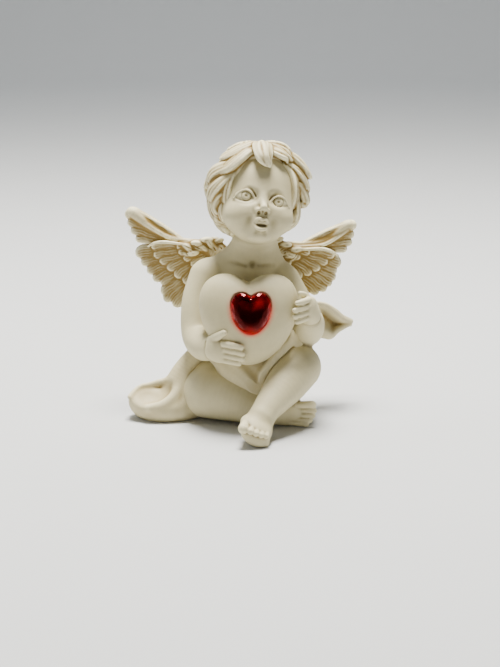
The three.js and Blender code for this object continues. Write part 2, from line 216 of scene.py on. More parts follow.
def ball(centre, half, turn=None):
    """Ellipsoid: with k the length of the point over the half sizes, the distance is about k(k - 1)
    over the length of the point over their squares."""
    axes = np.eye(3) if turn is None else np.array(turn)
    half = np.array(half, dtype=np.float64)
    reach = np.abs(axes) @ half

    def distance(p):
        q = (p - centre) @ axes
        k = np.linalg.norm(q / half, axis=-1)
        return k * (k - 1) / np.maximum(np.linalg.norm(q / half**2, axis=-1), 1e-6)

    return centre - reach, centre + reach, distance


def ring(centre, radius, thickness, turn):
    """Ring about the second column of turn: distance to the circle less the wire's radius."""
    reach = radius + thickness

    def distance(p):
        q = (p - centre) @ turn
        return np.hypot(np.hypot(q[..., 0], q[..., 2]) - radius, q[..., 1]) - thickness

    return centre - reach, centre + reach, distance


class Clay:
    """A grid of distances, negative inside, that masses are melted into and carved out of."""

    def __init__(self, low, high, step):
        spans = zip(low, high, strict=True)
        self.axes = [np.arange(a - 2 * step, b + 3 * step, step, dtype=np.float32) for a, b in spans]
        self.field = np.full([len(a) for a in self.axes], 6.0, dtype=np.float32)

    def block(self, low, high, margin):
        """The cells within margin of a box, and their points, or two Nones where the box misses the
        grid."""
        cuts = tuple(
            slice(np.searchsorted(axis, a - margin), np.searchsorted(axis, b + margin))
            for axis, a, b in zip(self.axes, low, high, strict=True)
        )
        if min(c.stop - c.start for c in cuts) < 1:
            return None, None
        grids = np.meshgrid(*(axis[c] for axis, c in zip(self.axes, cuts, strict=True)), indexing="ij")
        return cuts, np.stack(grids, axis=-1)

    def add(self, mass, blend=0.0, sign=1):
        """Melts a mass into the clay. With sign -1 the clay's outside is melted into it, which takes it
        out."""
        low, high, distance = mass
        cuts, points = self.block(low, high, blend + 1.2)
        if cuts:
            near = distance(points).astype(np.float32)
            self.field[cuts] = sign * melted(sign * self.field[cuts], near, blend)

    def carve(self, mass, blend=0.0):
        self.add(mass, blend, -1)

    def cut_below(self, height):
        self.field = np.maximum(self.field, (height - self.axes[2])[None, None, :])

    def cut_above(self, height):
        self.field = np.maximum(self.field, (self.axes[2] - height)[None, None, :])

    def sample(self, points):
        """The field and its slope at points, weighed between the eight corners round each."""
        step = float(self.axes[0][1] - self.axes[0][0])
        place = (points - [a[0] for a in self.axes]) / step
        cell = np.clip(np.floor(place).astype(int), 0, np.array(self.field.shape) - 2)
        t = place - cell
        corners = np.stack(
            [self.field[tuple((cell + (i, j, k)).T)] for i in (0, 1) for j in (0, 1) for k in (0, 1)],
            axis=-1,
        ).reshape(-1, 2, 2, 2)

        def weighed(pair, share):
            share = share.reshape(-1, *[1] * (pair.ndim - 2))
            return pair[:, 0] * (1 - share) + pair[:, 1] * share

        x, y, z = t.T
        along_x = weighed(corners, x)
        along_y = weighed(along_x, y)
        slope_x = weighed(weighed(corners[:, 1] - corners[:, 0], y), z)
        slope_y = weighed(along_x[:, 1] - along_x[:, 0], z)
        slope_z = along_y[:, 1] - along_y[:, 0]
        return weighed(along_y, z), np.stack([slope_x, slope_y, slope_z], axis=-1) / step

    def skin(self):
        """Points and four-sided faces where the field is zero: each cell that the surface crosses gets
        the mean of its crossed edges, each crossed edge gets the face between its four cells, and the
        points are then evened out and drawn back onto the surface."""
        for layer in (0, -1):
            self.field[layer], self.field[:, layer], self.field[:, :, layer] = 1.0, 1.0, 1.0
        field, shape = self.field, np.array(self.field.shape) - 1
        origin = np.array([a[0] for a in self.axes])
        step = float(self.axes[0][1] - self.axes[0][0])
        cells, places, faces = [], [], []
        for axis in range(3):
            first = np.take(field, range(field.shape[axis] - 1), axis)
            second = np.take(field, range(1, field.shape[axis]), axis)
            edge = np.argwhere((first < 0) != (second < 0))
            a, b = first[tuple(edge.T)], second[tuple(edge.T)]
            place = edge.astype(np.float64)
            place[:, axis] += a / (a - b)
            ahead, aside = (axis + 1) % 3, (axis + 2) % 3
            corners = []
            for back_1, back_2 in ((1, 1), (0, 1), (0, 0), (1, 0)):
                cell = edge.copy()
                cell[:, ahead] -= back_1
                cell[:, aside] -= back_2
                corners.append(np.ravel_multi_index(tuple(cell.T), shape))
            corners = np.stack(corners, axis=-1)
            faces.append(np.where((a < 0)[:, None], corners, corners[:, ::-1]))
            cells.append(corners.ravel())
            places.append(np.repeat(place, 4, axis=0))
        cells, places, faces = np.concatenate(cells), np.concatenate(places), np.concatenate(faces)
        names, index = np.unique(cells, return_inverse=True)
        count = np.bincount(index)
        points = np.stack([np.bincount(index, places[:, i]) / count for i in range(3)], axis=-1)
        points = points * step + origin
        faces = np.searchsorted(names, faces)
        edges = np.vstack([faces[:, [i, (i + 1) % 4]] for i in range(4)])
        for _ in range(3):
            points = points + 0.5 * (neighbour_mean(points, edges) - points)
            for _ in range(2):
                value, slope = self.sample(points)
                stride = value / np.maximum((slope**2).sum(-1), 0.05)
                points = points - slope * stride[:, None].clip(-0.3, 0.3)
        return points, faces


def neighbour_mean(points, edges):
    """The mean of the points that share an edge with each point."""
    a, b = edges.T
    count = np.bincount(a, minlength=len(points)) + np.bincount(b, minlength=len(points))
    size = len(points)
    total = [np.bincount(a, points[b, i], size) + np.bincount(b, points[a, i], size) for i in range(3)]
    return np.stack(total, axis=-1) / np.maximum(count, 1)[:, None]


# ---- Pieces --------------------------------------------------------------------------


def new_mesh(name, points, faces, metres=False):
    mesh = bpy.data.meshes.new(name)
    mesh.from_pydata(points if metres else in_metres(points), [], faces.tolist())
    mesh.update()
    return mesh


def add_piece(name, mesh, material, slot, *nodes, smooth=True):
    """Puts a finished mesh in the scene as a piece that rides on the figurine and stands for CAD nodes."""
    piece = bpy.data.objects.new(name, mesh)
    bpy.context.scene.collection.objects.link(piece)
    mesh.materials.append(material)
    mesh.polygons.foreach_set("use_smooth", np.full(len(mesh.polygons), smooth))
    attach(piece, "root")
    if nodes:
        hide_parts(*nodes)
    return piece


def fused(name, points, faces, voxel, rounds):
    """Overlapping closed shells fused into one by a voxel remesh, then smoothed as a mould softens an
    edge."""
    shells = bpy.data.objects.new(name, new_mesh(name, points, faces))
    bpy.context.scene.collection.objects.link(shells)
    remesh = shells.modifiers.new("fuse", "REMESH")
    remesh.mode = "VOXEL"
    remesh.voxel_size = voxel * MM
    bpy.context.view_layer.update()
    held = bpy.context.evaluated_depsgraph_get()
    mesh = bpy.data.meshes.new_from_object(shells.evaluated_get(held))
    bpy.data.objects.remove(shells)
    mesh.name = name
    points, edges = mesh_points(mesh), mesh_edges(mesh)
    for _ in range(rounds):
        points = points + 0.5 * (neighbour_mean(points, edges) - points)
    mesh.vertices.foreach_set("co", points.ravel())
    mesh.update()
    return mesh


def mesh_points(mesh):
    co = np.empty(len(mesh.vertices) * 3)
    mesh.vertices.foreach_get("co", co)
    return co.reshape(-1, 3)


def mesh_edges(mesh):
    ends = np.empty(len(mesh.edges) * 2, dtype=np.int64)
    mesh.edges.foreach_get("vertices", ends)
    return ends.reshape(-1, 2)


def store(mesh, name, values):
    layer = mesh.attributes.new(name, "FLOAT", "POINT")
    layer.data.foreach_set("value", np.clip(values, 0, 1).astype(np.float32))


def recess_and_crest(mesh, fine, broad, fine_rounds=6, broad_rounds=60):
    """Stores how far each point lies below its smoothed surroundings, as recess, and above them, as
    crest: the step along the normal from the point to where rounds of neighbour averaging take it, over
    a depth that counts as full. A narrow and a wide smoothing are added."""
    points, edges = mesh_points(mesh) / MM, mesh_edges(mesh)
    normals = np.empty(len(mesh.vertices) * 3)
    mesh.vertices.foreach_get("normal", normals)
    normals = normals.reshape(-1, 3)
    smooth, depths = points, []
    for turn in range(broad_rounds):
        smooth = smooth + 0.6 * (neighbour_mean(smooth, edges) - smooth)
        if turn + 1 in (fine_rounds, broad_rounds):
            depths.append(((smooth - points) * normals).sum(-1))
    recess = 0.6 * depths[0] / fine + 0.7 * depths[1] / broad
    store(mesh, "recess", recess)
    store(mesh, "crest", -recess)


def sweep(path, widths, heights, out, section=18, grooves=0.0, groove_count=4.0):
    """A strand of clay carried along a path, as one closed tube. At each station the section is side
    times width times cos a plus out times height times sin a, and its height is cut by grooves times
    the cosine of groove_count half-waves across the width."""
    along = np.gradient(path, axis=0)
    along /= np.linalg.norm(along, axis=1, keepdims=True)
    side = np.cross(along, out)
    side /= np.linalg.norm(side, axis=1, keepdims=True)
    up = np.cross(side, along)
    a = np.linspace(0, 2 * np.pi, section, endpoint=False)
    across = np.cos(a)[None, :]
    lift = np.sin(a)[None, :] * np.ones((len(path), 1))
    cut = grooves * (0.5 - 0.5 * np.cos(np.pi * groove_count * across)) * (lift > -0.2)
    high = heights[:, None] * lift - cut * np.minimum(heights[:, None] * 2, 1.0)
    grid = (
        path[:, None, :]
        + side[:, None, :] * (widths[:, None] * across)[..., None]
        + up[:, None, :] * high[..., None]
    )
    return grid, *tube_faces(len(path), section)


def tube_faces(rows, columns):
    """Quads between rows of a closed tube, and a fan of quads that closes each end."""
    r, c = np.meshgrid(np.arange(rows - 1), np.arange(columns), indexing="ij")
    a = r * columns + c
    b = r * columns + (c + 1) % columns
    quads = np.stack([a, b, b + columns, a + columns], axis=-1).reshape(-1, 4)
    half = columns // 2
    k = np.arange(half - 1)
    near = np.stack([k + 1, k, columns - 1 - k, columns - 2 - k], axis=-1)
    last = (rows - 1) * columns
    far = np.stack([k, k + 1, columns - 2 - k, columns - 1 - k], axis=-1) + last
    return quads, np.vstack([near, far])


class Shells:
    """Closed shells gathered into one list of points and faces."""

    def __init__(self):
        self.points, self.faces, self.count = [], [], 0

    def add(self, grid, quads, ends):
        points = grid.reshape(-1, 3)
        self.points.append(points)
        self.faces.append(np.vstack([quads, ends]) + self.count)
        self.count += len(points)

    def arrays(self):
        return np.vstack(self.points), np.vstack(self.faces)


# ---- The child's masses --------------------------------------------------------------


def pair(x, y, z):
    return ((-x, y, z), (x, y, z))


def trunk_masses():
    """Seat, belly, chest, shoulders and neck."""
    yield ball(SEAT + (0, 0.2, 0.3), (7.6, 6.4, 6.2)), 0
    yield ball(SEAT + (0, -2.4, 6.4), (6.7, 6.2, 6.8)), 2.5
    yield ball(SEAT + (-0.5, -1.4, 17.2), (7.0, 5.0, 7.2)), 3.0
    yield from_seat((-7.4, -1.6, 21.6, 3.1), (0, -1.7, 22.4, 3.3), (5.8, -1.4, 20.7, 3.1)), 2.0
    yield from_seat((0.4, -1.0, 22.5, 5.0), (0.9, -1.6, 27.0, 4.1), (1.4, -2.2, 31.0, 4.1)), 2.4
    for side, drop in ((-1, 0.0), (1, 1.0)):
        nape, slope = (side * 1.6 + 1.0, -1.2, 27.6, 2.6), (side * 3.9 + 0.3, -1.5, 25.0, 2.3)
        yield from_seat(nape, slope, (side * 6.4 - 0.4, -1.7, 23.4 - drop, 1.8)), 1.6
    for side in (-7.0, 5.6):
        yield ball(SEAT + (side * 0.42 - 0.3, -5.2, 18.6), (3.0, 1.5, 2.4)), 1.5
    for side in (-3.0, 3.0):
        yield ball(SEAT + (side, 4.6, 2.6), (3.6, 3.0, 4.2)), 1.2


def head_masses():
    """Skull, cheeks, jaw, nose and lips, in the head's own frame."""
    t = HEAD_TURN
    yield ball(on_head(*SKULL_AT), SKULL_HALF, t), 1.2
    yield ball(on_head(0, -2.3, -3.6), (6.6, 5.5, 5.6), t), 2.0
    for x, y, z in pair(3.5, -4.5, -5.0):
        yield ball(on_head(x, y, z), (2.9, 2.5, 2.6), t), 1.6
    yield ball(on_head(0, -4.2, -8.0), (3.6, 2.6, 1.35), t), 1.6
    yield ball(on_head(0, -6.0, -8.95), (1.7, 1.3, 0.9), t), 1.2
    yield ball(on_head(0, -6.5, -6.5), (2.1, 1.4, 1.9), t), 1.2


def face_details(clay):
    """Eyes, lids, nose, nostrils, lips and chin, each melted in or carved out."""
    t = HEAD_TURN
    for x, y, z in pair(3.15, -7.75, -1.55):
        clay.carve(ball(on_head(x, y, z), (2.3, 1.1, 1.45), t), 0.9)
    clay.add(from_head((0, -7.0, -1.2, 0.45), (0, -7.7, -2.5, 0.5), (0.1, -8.7, -3.75, 0.62)), 0.8)
    for x, y, z in pair(0.85, -7.7, -4.2):
        clay.add(ball(on_head(x, y, z), (0.42, 0.75, 0.38), t), 0.7)
    for x, y, z in pair(0.68, -8.25, -4.75):
        clay.carve(ball(on_head(x, y, z), (0.42, 0.75, 0.4), t), 0.1)
    for side, drop in ((-1, 0.0), (1, 0.5)):
        eye = on_head(side * 3.15, -5.55, -1.6 - drop)
        clay.add(ball(eye, (2.0, 1.5, 1.4), t), 0.1)
        clay.carve(ring(on_head(side * 3.1, -6.88, -1.6 - drop), 0.92, 0.13, t), 0.1)
        clay.carve(ball(on_head(side * 3.1, -7.06, -1.55 - drop), (0.36, 0.24, 0.36), t), 0.1)
        upper = [(1.25, -6.75, -2.15), (2.1, -7.0, -0.95), (3.3, -6.95, -0.45), (4.5, -6.6, -0.95),
                 (5.3, -5.9, -2.1)]  # fmt: skip
        lower = [(1.25, -6.75, -2.15), (2.2, -6.95, -2.7), (3.3, -6.9, -2.95), (4.4, -6.5, -2.7),
                 (5.2, -5.95, -2.1)]  # fmt: skip
        clay.add(from_head(*((side * x, y, z - drop, 0.17) for x, y, z in upper)), 0.3)
        clay.add(from_head(*((side * x, y, z - drop, 0.1) for x, y, z in lower)), 0.3)
        clay.carve(from_head(*((side * x, y - 0.12, z + 0.62 - drop, 0.1) for x, y, z in upper)), 0.35)
    upper_lip = [(-1.5, -7.3, -6.5, 0.12), (-0.7, -8.1, -5.85, 0.3), (0, -8.2, -5.98, 0.27),
                 (0.7, -8.1, -5.85, 0.3), (1.5, -7.3, -6.5, 0.12)]  # fmt: skip
    lower_lip = [(-1.3, -7.3, -7.0, 0.12), (-0.65, -7.85, -7.7, 0.32), (0, -8.0, -7.88, 0.37),
                 (0.65, -7.85, -7.7, 0.32), (1.3, -7.3, -7.0, 0.12)]  # fmt: skip
    clay.add(from_head(*upper_lip), 0.3)
    clay.add(from_head(*lower_lip), 0.3)
    clay.carve(from_head((-1.35, -7.75, -6.7, 0.12), (0, -8.45, -6.92, 0.5), (1.35, -7.75, -6.7, 0.12)), 0.15)
    clay.carve(ball(on_head(0, -7.9, -6.92), (1.05, 0.9, 0.3), t), 0.25)
    for x, y, z in pair(2.4, -7.7, -6.7):
        clay.carve(ball(on_head(x, y, z), (0.4, 0.4, 0.8), t), 1.2)
    clay.carve(from_head((0, -8.75, -4.95, 0.22), (0, -8.75, -5.4, 0.26)), 0.3)
    clay.carve(from_head(*((x, -8.3 + abs(x) * 0.5, -8.55, 0.32) for x in (-1.0, 0, 1.0))), 0.6)


def fingers(clay, knuckles, tips, radius):
    """Each finger bends once, at a joint that stands a little proud, and ends in a rounded tip."""
    for knuckle, tip in zip(knuckles, tips, strict=True):
        middle = (np.array(knuckle) + tip) / 2 + (0.1, -0.25, 0.05)
        stations = (*knuckle, radius * 1.08), (*middle, radius), (*tip, radius * 0.86)
        clay.add(from_seat(*stations), 0.16)


def arm_masses(clay):
    """Upper arm, elbow, forearm and hand on each side. Points are measured from the seat."""
    right = [(-8.2, -1.8, 21.6, 3.5), (-9.7, -3.8, 16.8, 3.45), (-10.0, -6.6, 11.6, 3.15),
             (-8.7, -10.6, 10.1, 2.9), (-6.9, -13.6, 10.3, 2.15)]  # fmt: skip
    left = [(6.5, -1.6, 20.6, 3.5), (9.1, -3.4, 16.2, 3.35), (10.9, -6.2, 12.1, 3.2),
            (11.6, -9.2, 14.0, 2.85), (11.5, -11.0, 16.2, 2.1)]  # fmt: skip
    for arm in (right, left):
        clay.add(from_seat(*arm), 0.9)
    palm = turning(0, 8, -14)
    clay.add(ball(SEAT + (-5.6, -15.3, 10.3), (2.4, 1.15, 2.35), palm), 0.9)
    clay.add(ball(SEAT + (-6.7, -14.4, 11.6), (1.6, 1.2, 1.3), palm), 0.8)
    clay.add(from_seat((-7.0, -14.5, 12.3, 0.9), (-5.9, -15.6, 13.2, 0.78), (-4.7, -16.3, 14.1, 0.6)), 0.3)
    knuckles = [(-4.7, -16.2, 11.9), (-4.5, -16.1, 10.75), (-4.6, -15.9, 9.65), (-4.8, -15.5, 8.65)]
    tips = [(-1.4, -17.3, 11.55), (-1.1, -17.2, 10.3), (-1.15, -16.95, 9.15), (-1.9, -16.5, 8.15)]
    fingers(clay, knuckles, tips, 0.62)
    palm = turning(0, 0, 62)
    clay.add(ball(SEAT + (11.7, -12.2, 17.6), (1.9, 1.1, 2.4), palm), 0.9)
    knuckles = [(11.3, -12.8, 19.6), (11.5, -12.9, 18.45), (11.4, -13.0, 17.35), (11.1, -13.1, 16.3)]
    tips = [(9.0, -14.4, 19.3), (8.5, -14.8, 18.0), (8.5, -14.8, 16.8), (8.9, -14.6, 15.7)]
    fingers(clay, knuckles, tips, 0.57)
    clay.add(from_seat((11.2, -11.4, 19.2, 0.8), (10.4, -12.0, 20.3, 0.65), (9.6, -12.8, 20.8, 0.5)), 0.3)
    for wrist, bend in (((-7.0, -13.3, 10.2), turning(0, 15, 50)), ((11.5, -10.9, 15.9), turning(-50, 0, 0))):
        clay.carve(ring(SEAT + wrist, 2.32, 0.2, bend), 0.35)


def leg_masses(clay):
    """The right leg lies folded on the table, and the left one stands across it. Measured from the seat."""
    clay.add(from_seat((-4.4, 0.2, 0.8, 6.0), (-6.9, -3.6, 0.5, 5.75), (-8.0, -7.2, -0.2, 5.1)), 1.2)
    shin = [(-8.0, -8.0, -0.2, 5.0), (-3.4, -9.8, -0.7, 4.55), (1.2, -11.2, -1.7, 3.6),
            (4.8, -12.2, -2.5, 2.5)]  # fmt: skip
    clay.add(from_seat(*shin), 0.6)
    clay.add(from_seat((4.6, 0, 1.0, 6.0), (7.6, -4.4, 3.1, 5.4), (9.5, -9.0, 5.4, 4.4)), 1.2)
    shin = [(9.5, -9.6, 5.3, 4.35), (7.2, -13.6, 3.4, 3.9), (4.4, -17.6, 1.1, 3.0), (2.5, -20.2, -0.6, 2.35)]
    clay.add(from_seat(*shin), 0.25)
    # The near foot: its sole faces forward and down, and its toes fan down from the big one.
    clay.add(from_seat((2.4, -20.4, -1.2, 2.3), (2.3, -20.8, -2.9, 2.1)), 0.8)
    across, ahead = np.array([0.90, 0.10, -0.42]), np.array([-0.12, -0.97, -0.2])
    across /= np.linalg.norm(across)
    sole = np.cross(ahead, across)
    near = np.stack([across, ahead / np.linalg.norm(ahead), sole / np.linalg.norm(sole)], axis=1)
    clay.add(ball(SEAT + (1.3, -22.6, -2.4), (3.15, 2.9, 1.9), near), 1.0)
    clay.add(ball(SEAT + (1.1, -23.7, -3.95), (2.9, 2.0, 1.45), near), 0.7)
    foot = SEAT + (1.3, -22.9, -2.2)
    toes = [(-2.3, 2.2, 1.0, 0.0), (-0.95, 2.7, 0.66, 0.35), (0.15, 2.75, 0.62, 0.4), (1.2, 2.65, 0.6, 0.45),
            (2.15, 2.3, 0.6, 0.45)]  # fmt: skip
    for x, reach, radius, lift in toes:
        root = foot + near @ (x * 0.92, reach - 1.9, lift)
        tip = foot + near @ (x, reach, lift)
        clay.add(limb((root, radius * 0.85), (tip, radius)), 0.1)
        clay.carve(ball(tip + near @ (0, 0.1, radius), (radius * 0.5, radius * 0.5, 0.14), near), 0.05)
    # The far foot lies on its outer edge with the toes stacked.
    clay.add(from_seat((4.6, -12.0, -2.6, 2.5), (6.4, -11.6, -3.3, 2.2)), 0.8)
    far = turning(0, 0, -6)
    clay.add(ball(SEAT + (7.9, -12.5, -2.6), (3.3, 1.55, 2.75), far), 1.0)
    for i, (x, z, radius) in enumerate(
        [(12.1, -0.95, 0.78), (12.4, -2.1, 0.6), (12.2, -3.1, 0.57), (11.7, -4.0, 0.54), (11.0, -4.75, 0.56)]
    ):
        root = SEAT + (x - 3.1, -13.2 - 0.05 * i, z * 0.9 - 0.3)
        clay.add(limb((root, radius * 0.9), (SEAT + (x, -13.4 - 0.08 * i, z), radius)), 0.1)
    clay.carve(ring(SEAT + (3.4, -11.9, -2.2), 3.17, 0.18, turning(0, 0, -75)), 0.5)


def child_clay(low, high, step, face):
    """The child's masses in one box of the grid: the head with its face, or else everything below it."""
    clay = Clay(low, high, step)
    for mass, blend in (*trunk_masses(), *head_masses()):
        clay.add(mass, blend)
    if face:
        face_details(clay)
        return clay
    arm_masses(clay)
    leg_masses(clay)
    clay.carve(ball(SEAT + (0.6, -6.1, 24.9), (0.8, 0.6, 0.7)), 0.9)
    for side in (-1, 1):
        outer = (side * 4.6 + 0.4, -4.9, 25.0 - 0.4 * side, 0.15)
        clay.carve(from_seat((side * 1.4 + 0.6, -5.9, 24.6, 0.2), outer), 0.9)
    clay.cut_below(0.0)
    return clay


NECK_CUT = 34.2  # height where the body's skin hands over to the head's
NECK_OVERLAP = 0.35


class CHERUB_OT_skin(Operator):
    """Model the child's trunk, arms and legs, and its head with the face"""

    bl_idname = "cherub.skin"
    bl_label = "Skin"

    def execute(self, context):
        low, high = node_span("child")
        # The skin's wash of flesh shade is partly painted shade in its recesses, and a little stain of it
        # darkens the whole skin in patches.
        material = bisque("cream_resin", colours().shade, 0.85, 0.3, 0.06)
        body = child_clay(low - 1, [high[0] + 1, high[1] + 1, NECK_CUT + 1], sizes().skin_grain, False)
        body.cut_above(NECK_CUT + NECK_OVERLAP)
        mesh = new_mesh("child_body", *body.skin())
        recess_and_crest(mesh, 0.06, 0.5)
        add_piece("child_body", mesh, material, "cream_resin", "child")
        head = child_clay(HEAD - (9.5, 11.5, 9.6), HEAD + (9.5, 10.0, 10.5), sizes().face_grain, True)
        head.cut_below(NECK_CUT - NECK_OVERLAP)
        mesh = new_mesh("child_head", *head.skin())
        recess_and_crest(mesh, 0.035, 0.3)
        add_piece("child_head", mesh, material, "cream_resin", "child")
        return {"FINISHED"}


# ---- Hair ----------------------------------------------------------------------------


def scalp(azimuth, elevation, lift):
    """The point over the skull at angles in degrees: the skull's half sizes plus lift, times the
    direction. Azimuth 0 is the brow and 90 the figure's left ear."""
    az, el = np.radians(azimuth), np.radians(elevation)
    way = np.stack([np.sin(az) * np.cos(el), -np.cos(az) * np.cos(el), np.sin(el)], axis=-1)
    return way * (SKULL_HALF + np.asarray(lift)[..., None]) + SKULL_AT


HERO_LOCKS = [
    # stations of (azimuth, elevation, lift), then half width, half height and strand count
    ([(-2, 76, 0.7), (-28, 73, 0.8), (-60, 66, 0.6), (-80, 52, 0.7), (-88, 38, 1.0), (-94, 24, 1.2)],
     2.2, 1.0, 8),
    ([(-4, 70, 0.7), (-26, 59, 1.1), (-46, 46, 1.2), (-62, 36, 1.6), (-80, 32, 2.0)], 1.8, 1.0, 7),
    ([(-8, 58, 0.5), (-28, 43, 1.1), (-40, 31, 1.1), (-54, 21, 1.1), (-68, 19, 1.4), (-76, 24, 1.5)],
     1.5, 0.9, 6),
    ([(-8, 73, 0.8), (-12, 57, 1.4), (-12, 42, 1.7), (-8, 30, 1.6), (3, 21, 0.8)], 0.9, 0.9, 4),
    ([(-2, 73, 0.9), (-4, 57, 1.6), (-4, 43, 1.9), (-1, 30, 1.8), (6, 19, 0.9)], 0.8, 0.85, 4),
    ([(5, 71, 0.8), (5, 57, 1.4), (4, 44, 1.6), (4, 33, 1.5), (7, 22, 0.9)], 0.8, 0.8, 4),
    ([(4, 74, 0.8), (26, 66, 1.3), (46, 60, 1.7), (58, 50, 1.8), (64, 40, 1.3)], 1.7, 1.1, 7),
    ([(7, 58, 0.6), (24, 50, 1.1), (40, 45, 1.1), (54, 37, 0.7)], 1.7, 0.8, 6),
    ([(34, 60, 0.8), (58, 49, 1.5), (70, 36, 2.0), (75, 26, 2.7), (77, 17, 3.6)], 1.8, 1.1, 7),
    ([(48, 42, 0.5), (66, 28, 1.1), (76, 17, 1.7), (79, 6, 2.2), (74, 0, 1.6)], 1.8, 1.2, 7),
    ([(46, 42, 0.0), (58, 26, 0.3), (64, 8, 0.3), (66, -10, 0.3), (68, -28, 0.2)], 1.5, 0.9, 6),
    ([(56, 12, 0.4), (71, 7, 1.3), (80, -1, 2.1), (81, -9, 2.1), (74, -14, 1.3)], 1.3, 1.0, 5),
    ([(66, -4, 0.5), (77, -18, 1.3), (82, -30, 1.5), (81, -40, 1.4), (76, -47, 0.9)], 1.2, 1.0, 5),
    ([(-84, 26, 0.8), (-98, 14, 1.4), (-104, -2, 1.6), (-98, -16, 1.4)], 1.9, 1.2, 7),
    ([(-42, 27, 0.4), (-58, 22, 1.0), (-76, 16, 1.6), (-86, 4, 1.7), (-80, -6, 1.3)], 1.8, 1.1, 7),
    ([(-46, 12, 0.4), (-60, 5, 0.9), (-76, -4, 1.5), (-84, -16, 1.5), (-77, -24, 1.0)], 1.7, 1.0, 6),
    ([(-46, 26, 0.0), (-54, 8, 0.3), (-59, -8, 0.4), (-63, -24, 0.3), (-71, -40, 0.1)], 1.4, 0.8, 5),
    ([(-54, -6, 0.4), (-68, -12, 1.0), (-82, -22, 1.3), (-84, -33, 1.1), (-78, -39, 0.7)], 1.4, 0.9, 5),
    ([(-60, -20, 0.3), (-68, -30, 0.7), (-77, -40, 0.8), (-87, -50, 0.4)], 1.2, 0.8, 4),
    ([(-90, -18, 0.6), (-98, -32, 1.1), (-96, -44, 1.0), (-89, -54, 0.5)], 1.5, 1.0, 5),
]  # fmt: skip


def crown_locks():
    """Locks for the crown, sides and back, in rows round the head. Each falls in a shallow wave and
    turns its tip to one side like a comma."""
    chance = np.random.default_rng(11)
    rows = [
        # elevation, locks in the row, azimuth of the first and how far they fall
        (80, 7, 0, 44), (60, 10, 18, 40), (40, 12, 0, 38), (20, 13, 15, 36), (0, 13, 0, 34),
        (-20, 11, 12, 28), (-36, 9, 0, 18),
    ]  # fmt: skip
    for elevation, count, start, fall in rows:
        for i in range(count):
            azimuth = start + 360.0 * i / count + chance.uniform(-7, 7)
            facing = (azimuth + 180) % 360 - 180
            if abs(facing) < (40 if elevation > 70 else 98):
                continue  # the listed locks cover the front
            slope = 1.0 / np.cos(np.radians(min(abs(elevation - fall / 2), 62)))
            way, swing = chance.choice((-1, 1)), chance.uniform(4, 8) * slope
            drop = fall * chance.uniform(0.85, 1.15)
            lift = chance.uniform(0.65, 0.95) * (0.75 if elevation < -15 else 1.0)
            stations = [
                (azimuth, elevation + 8, lift * 0.5),
                (azimuth + way * swing * 0.6, elevation - drop * 0.25, lift * 1.25),
                (azimuth - way * swing * 0.5, elevation - drop * 0.6, lift * 1.45),
                (azimuth + way * swing * 0.3, elevation - drop * 0.9, lift * 1.5),
                (azimuth + way * swing * 1.8, elevation - drop, lift * 1.1),
            ]
            yield stations, chance.uniform(1.8, 2.5), chance.uniform(1.0, 1.3), int(chance.integers(6, 9))


def lock_shell(shells, stations, width, height, strands, chance):
    """A lock: a flat body whose width swells as the 0.6 power of a half sine, and strands laid over it.
    A strand keeps its share of the width, stands on the body's rounded top, wavers a little from side
    to side and tapers at both ends."""
    path = smooth_path(stations, 8)
    t = np.linspace(0, 1, len(path))
    path[:, 1] += 1.8 * np.sin(2 * np.pi * (1.3 * t + stations[0][0] / 50.0))
    place = scalp(path[:, 0], path[:, 1], path[:, 2])
    out = place / SKULL_HALF**2
    out /= np.linalg.norm(out, axis=1, keepdims=True)
    swell = np.sin(np.pi * (0.03 + 0.955 * t)) ** 0.6
    groove = sizes().strand_depth * 0.5
    grid, quads, ends = sweep(place, width * swell, height * swell * 0.85, out, 24, groove, strands)
    shells.add(HEAD + grid @ HEAD_TURN.T, quads, ends)
    along = np.gradient(place, axis=0)
    side = np.cross(along / np.linalg.norm(along, axis=1, keepdims=True), out)
    for k in range(strands):
        share = (k + 0.5) / strands * 2 - 1 + chance.uniform(-0.1, 0.1)
        first, last = int(chance.integers(0, 4)), len(t) - int(chance.integers(0, max(len(t) // 5, 1)))
        across = width * swell * share * 0.92 + 0.14 * np.sin(2 * np.pi * (1.6 * t + chance.uniform()))
        rise = height * swell * 0.85 * np.sqrt(max(1 - share**2, 0)) - 0.1
        strand = (place + side * across[:, None] + out * rise[:, None])[first:last]
        taper = np.sin(np.pi * np.linspace(0.1, 0.97, len(strand))) ** 0.5
        girth = sizes().strand_depth * chance.uniform(0.7, 1.3) * taper
        grid, quads, ends = sweep(strand, girth * 1.15, girth, out[first:last], 10)
        shells.add(HEAD + grid @ HEAD_TURN.T, quads, ends)


def scalp_cap(shells):
    """The hair's own bulk under the locks: an ellipsoid a little over the skull with the face left
    open, as rows from the crown down to a hairline whose elevation depends on the azimuth."""
    columns = 72
    azimuth = np.linspace(0, 360, columns, endpoint=False)
    bearings = [-180, -113, -85, -67, -54, -42, -30, 0, 30, 60, 70, 76, 85, 113, 180]
    brow = [-56, -52, -38, -19, 2, 13, 36, 44, 44, 44, 28, 4, -39, -52, -56]
    hairline = np.interp((azimuth + 180) % 360 - 180, bearings, brow)
    rows = np.linspace(0, 1, 30)[:, None]
    elevation = 89.0 + (hairline - 89.0) * rows
    azimuth = azimuth * np.ones_like(elevation)
    lift = np.sin(np.pi * np.clip(rows * 0.9 + 0.1, 0, 1)) ** 0.5 * np.ones_like(elevation)
    outer, inner = scalp(azimuth, elevation, lift), scalp(azimuth, elevation, np.full_like(lift, -1.5))
    grid = np.concatenate([outer, inner[::-1]])
    shells.add(HEAD + grid @ HEAD_TURN.T, *tube_faces(len(grid), columns))


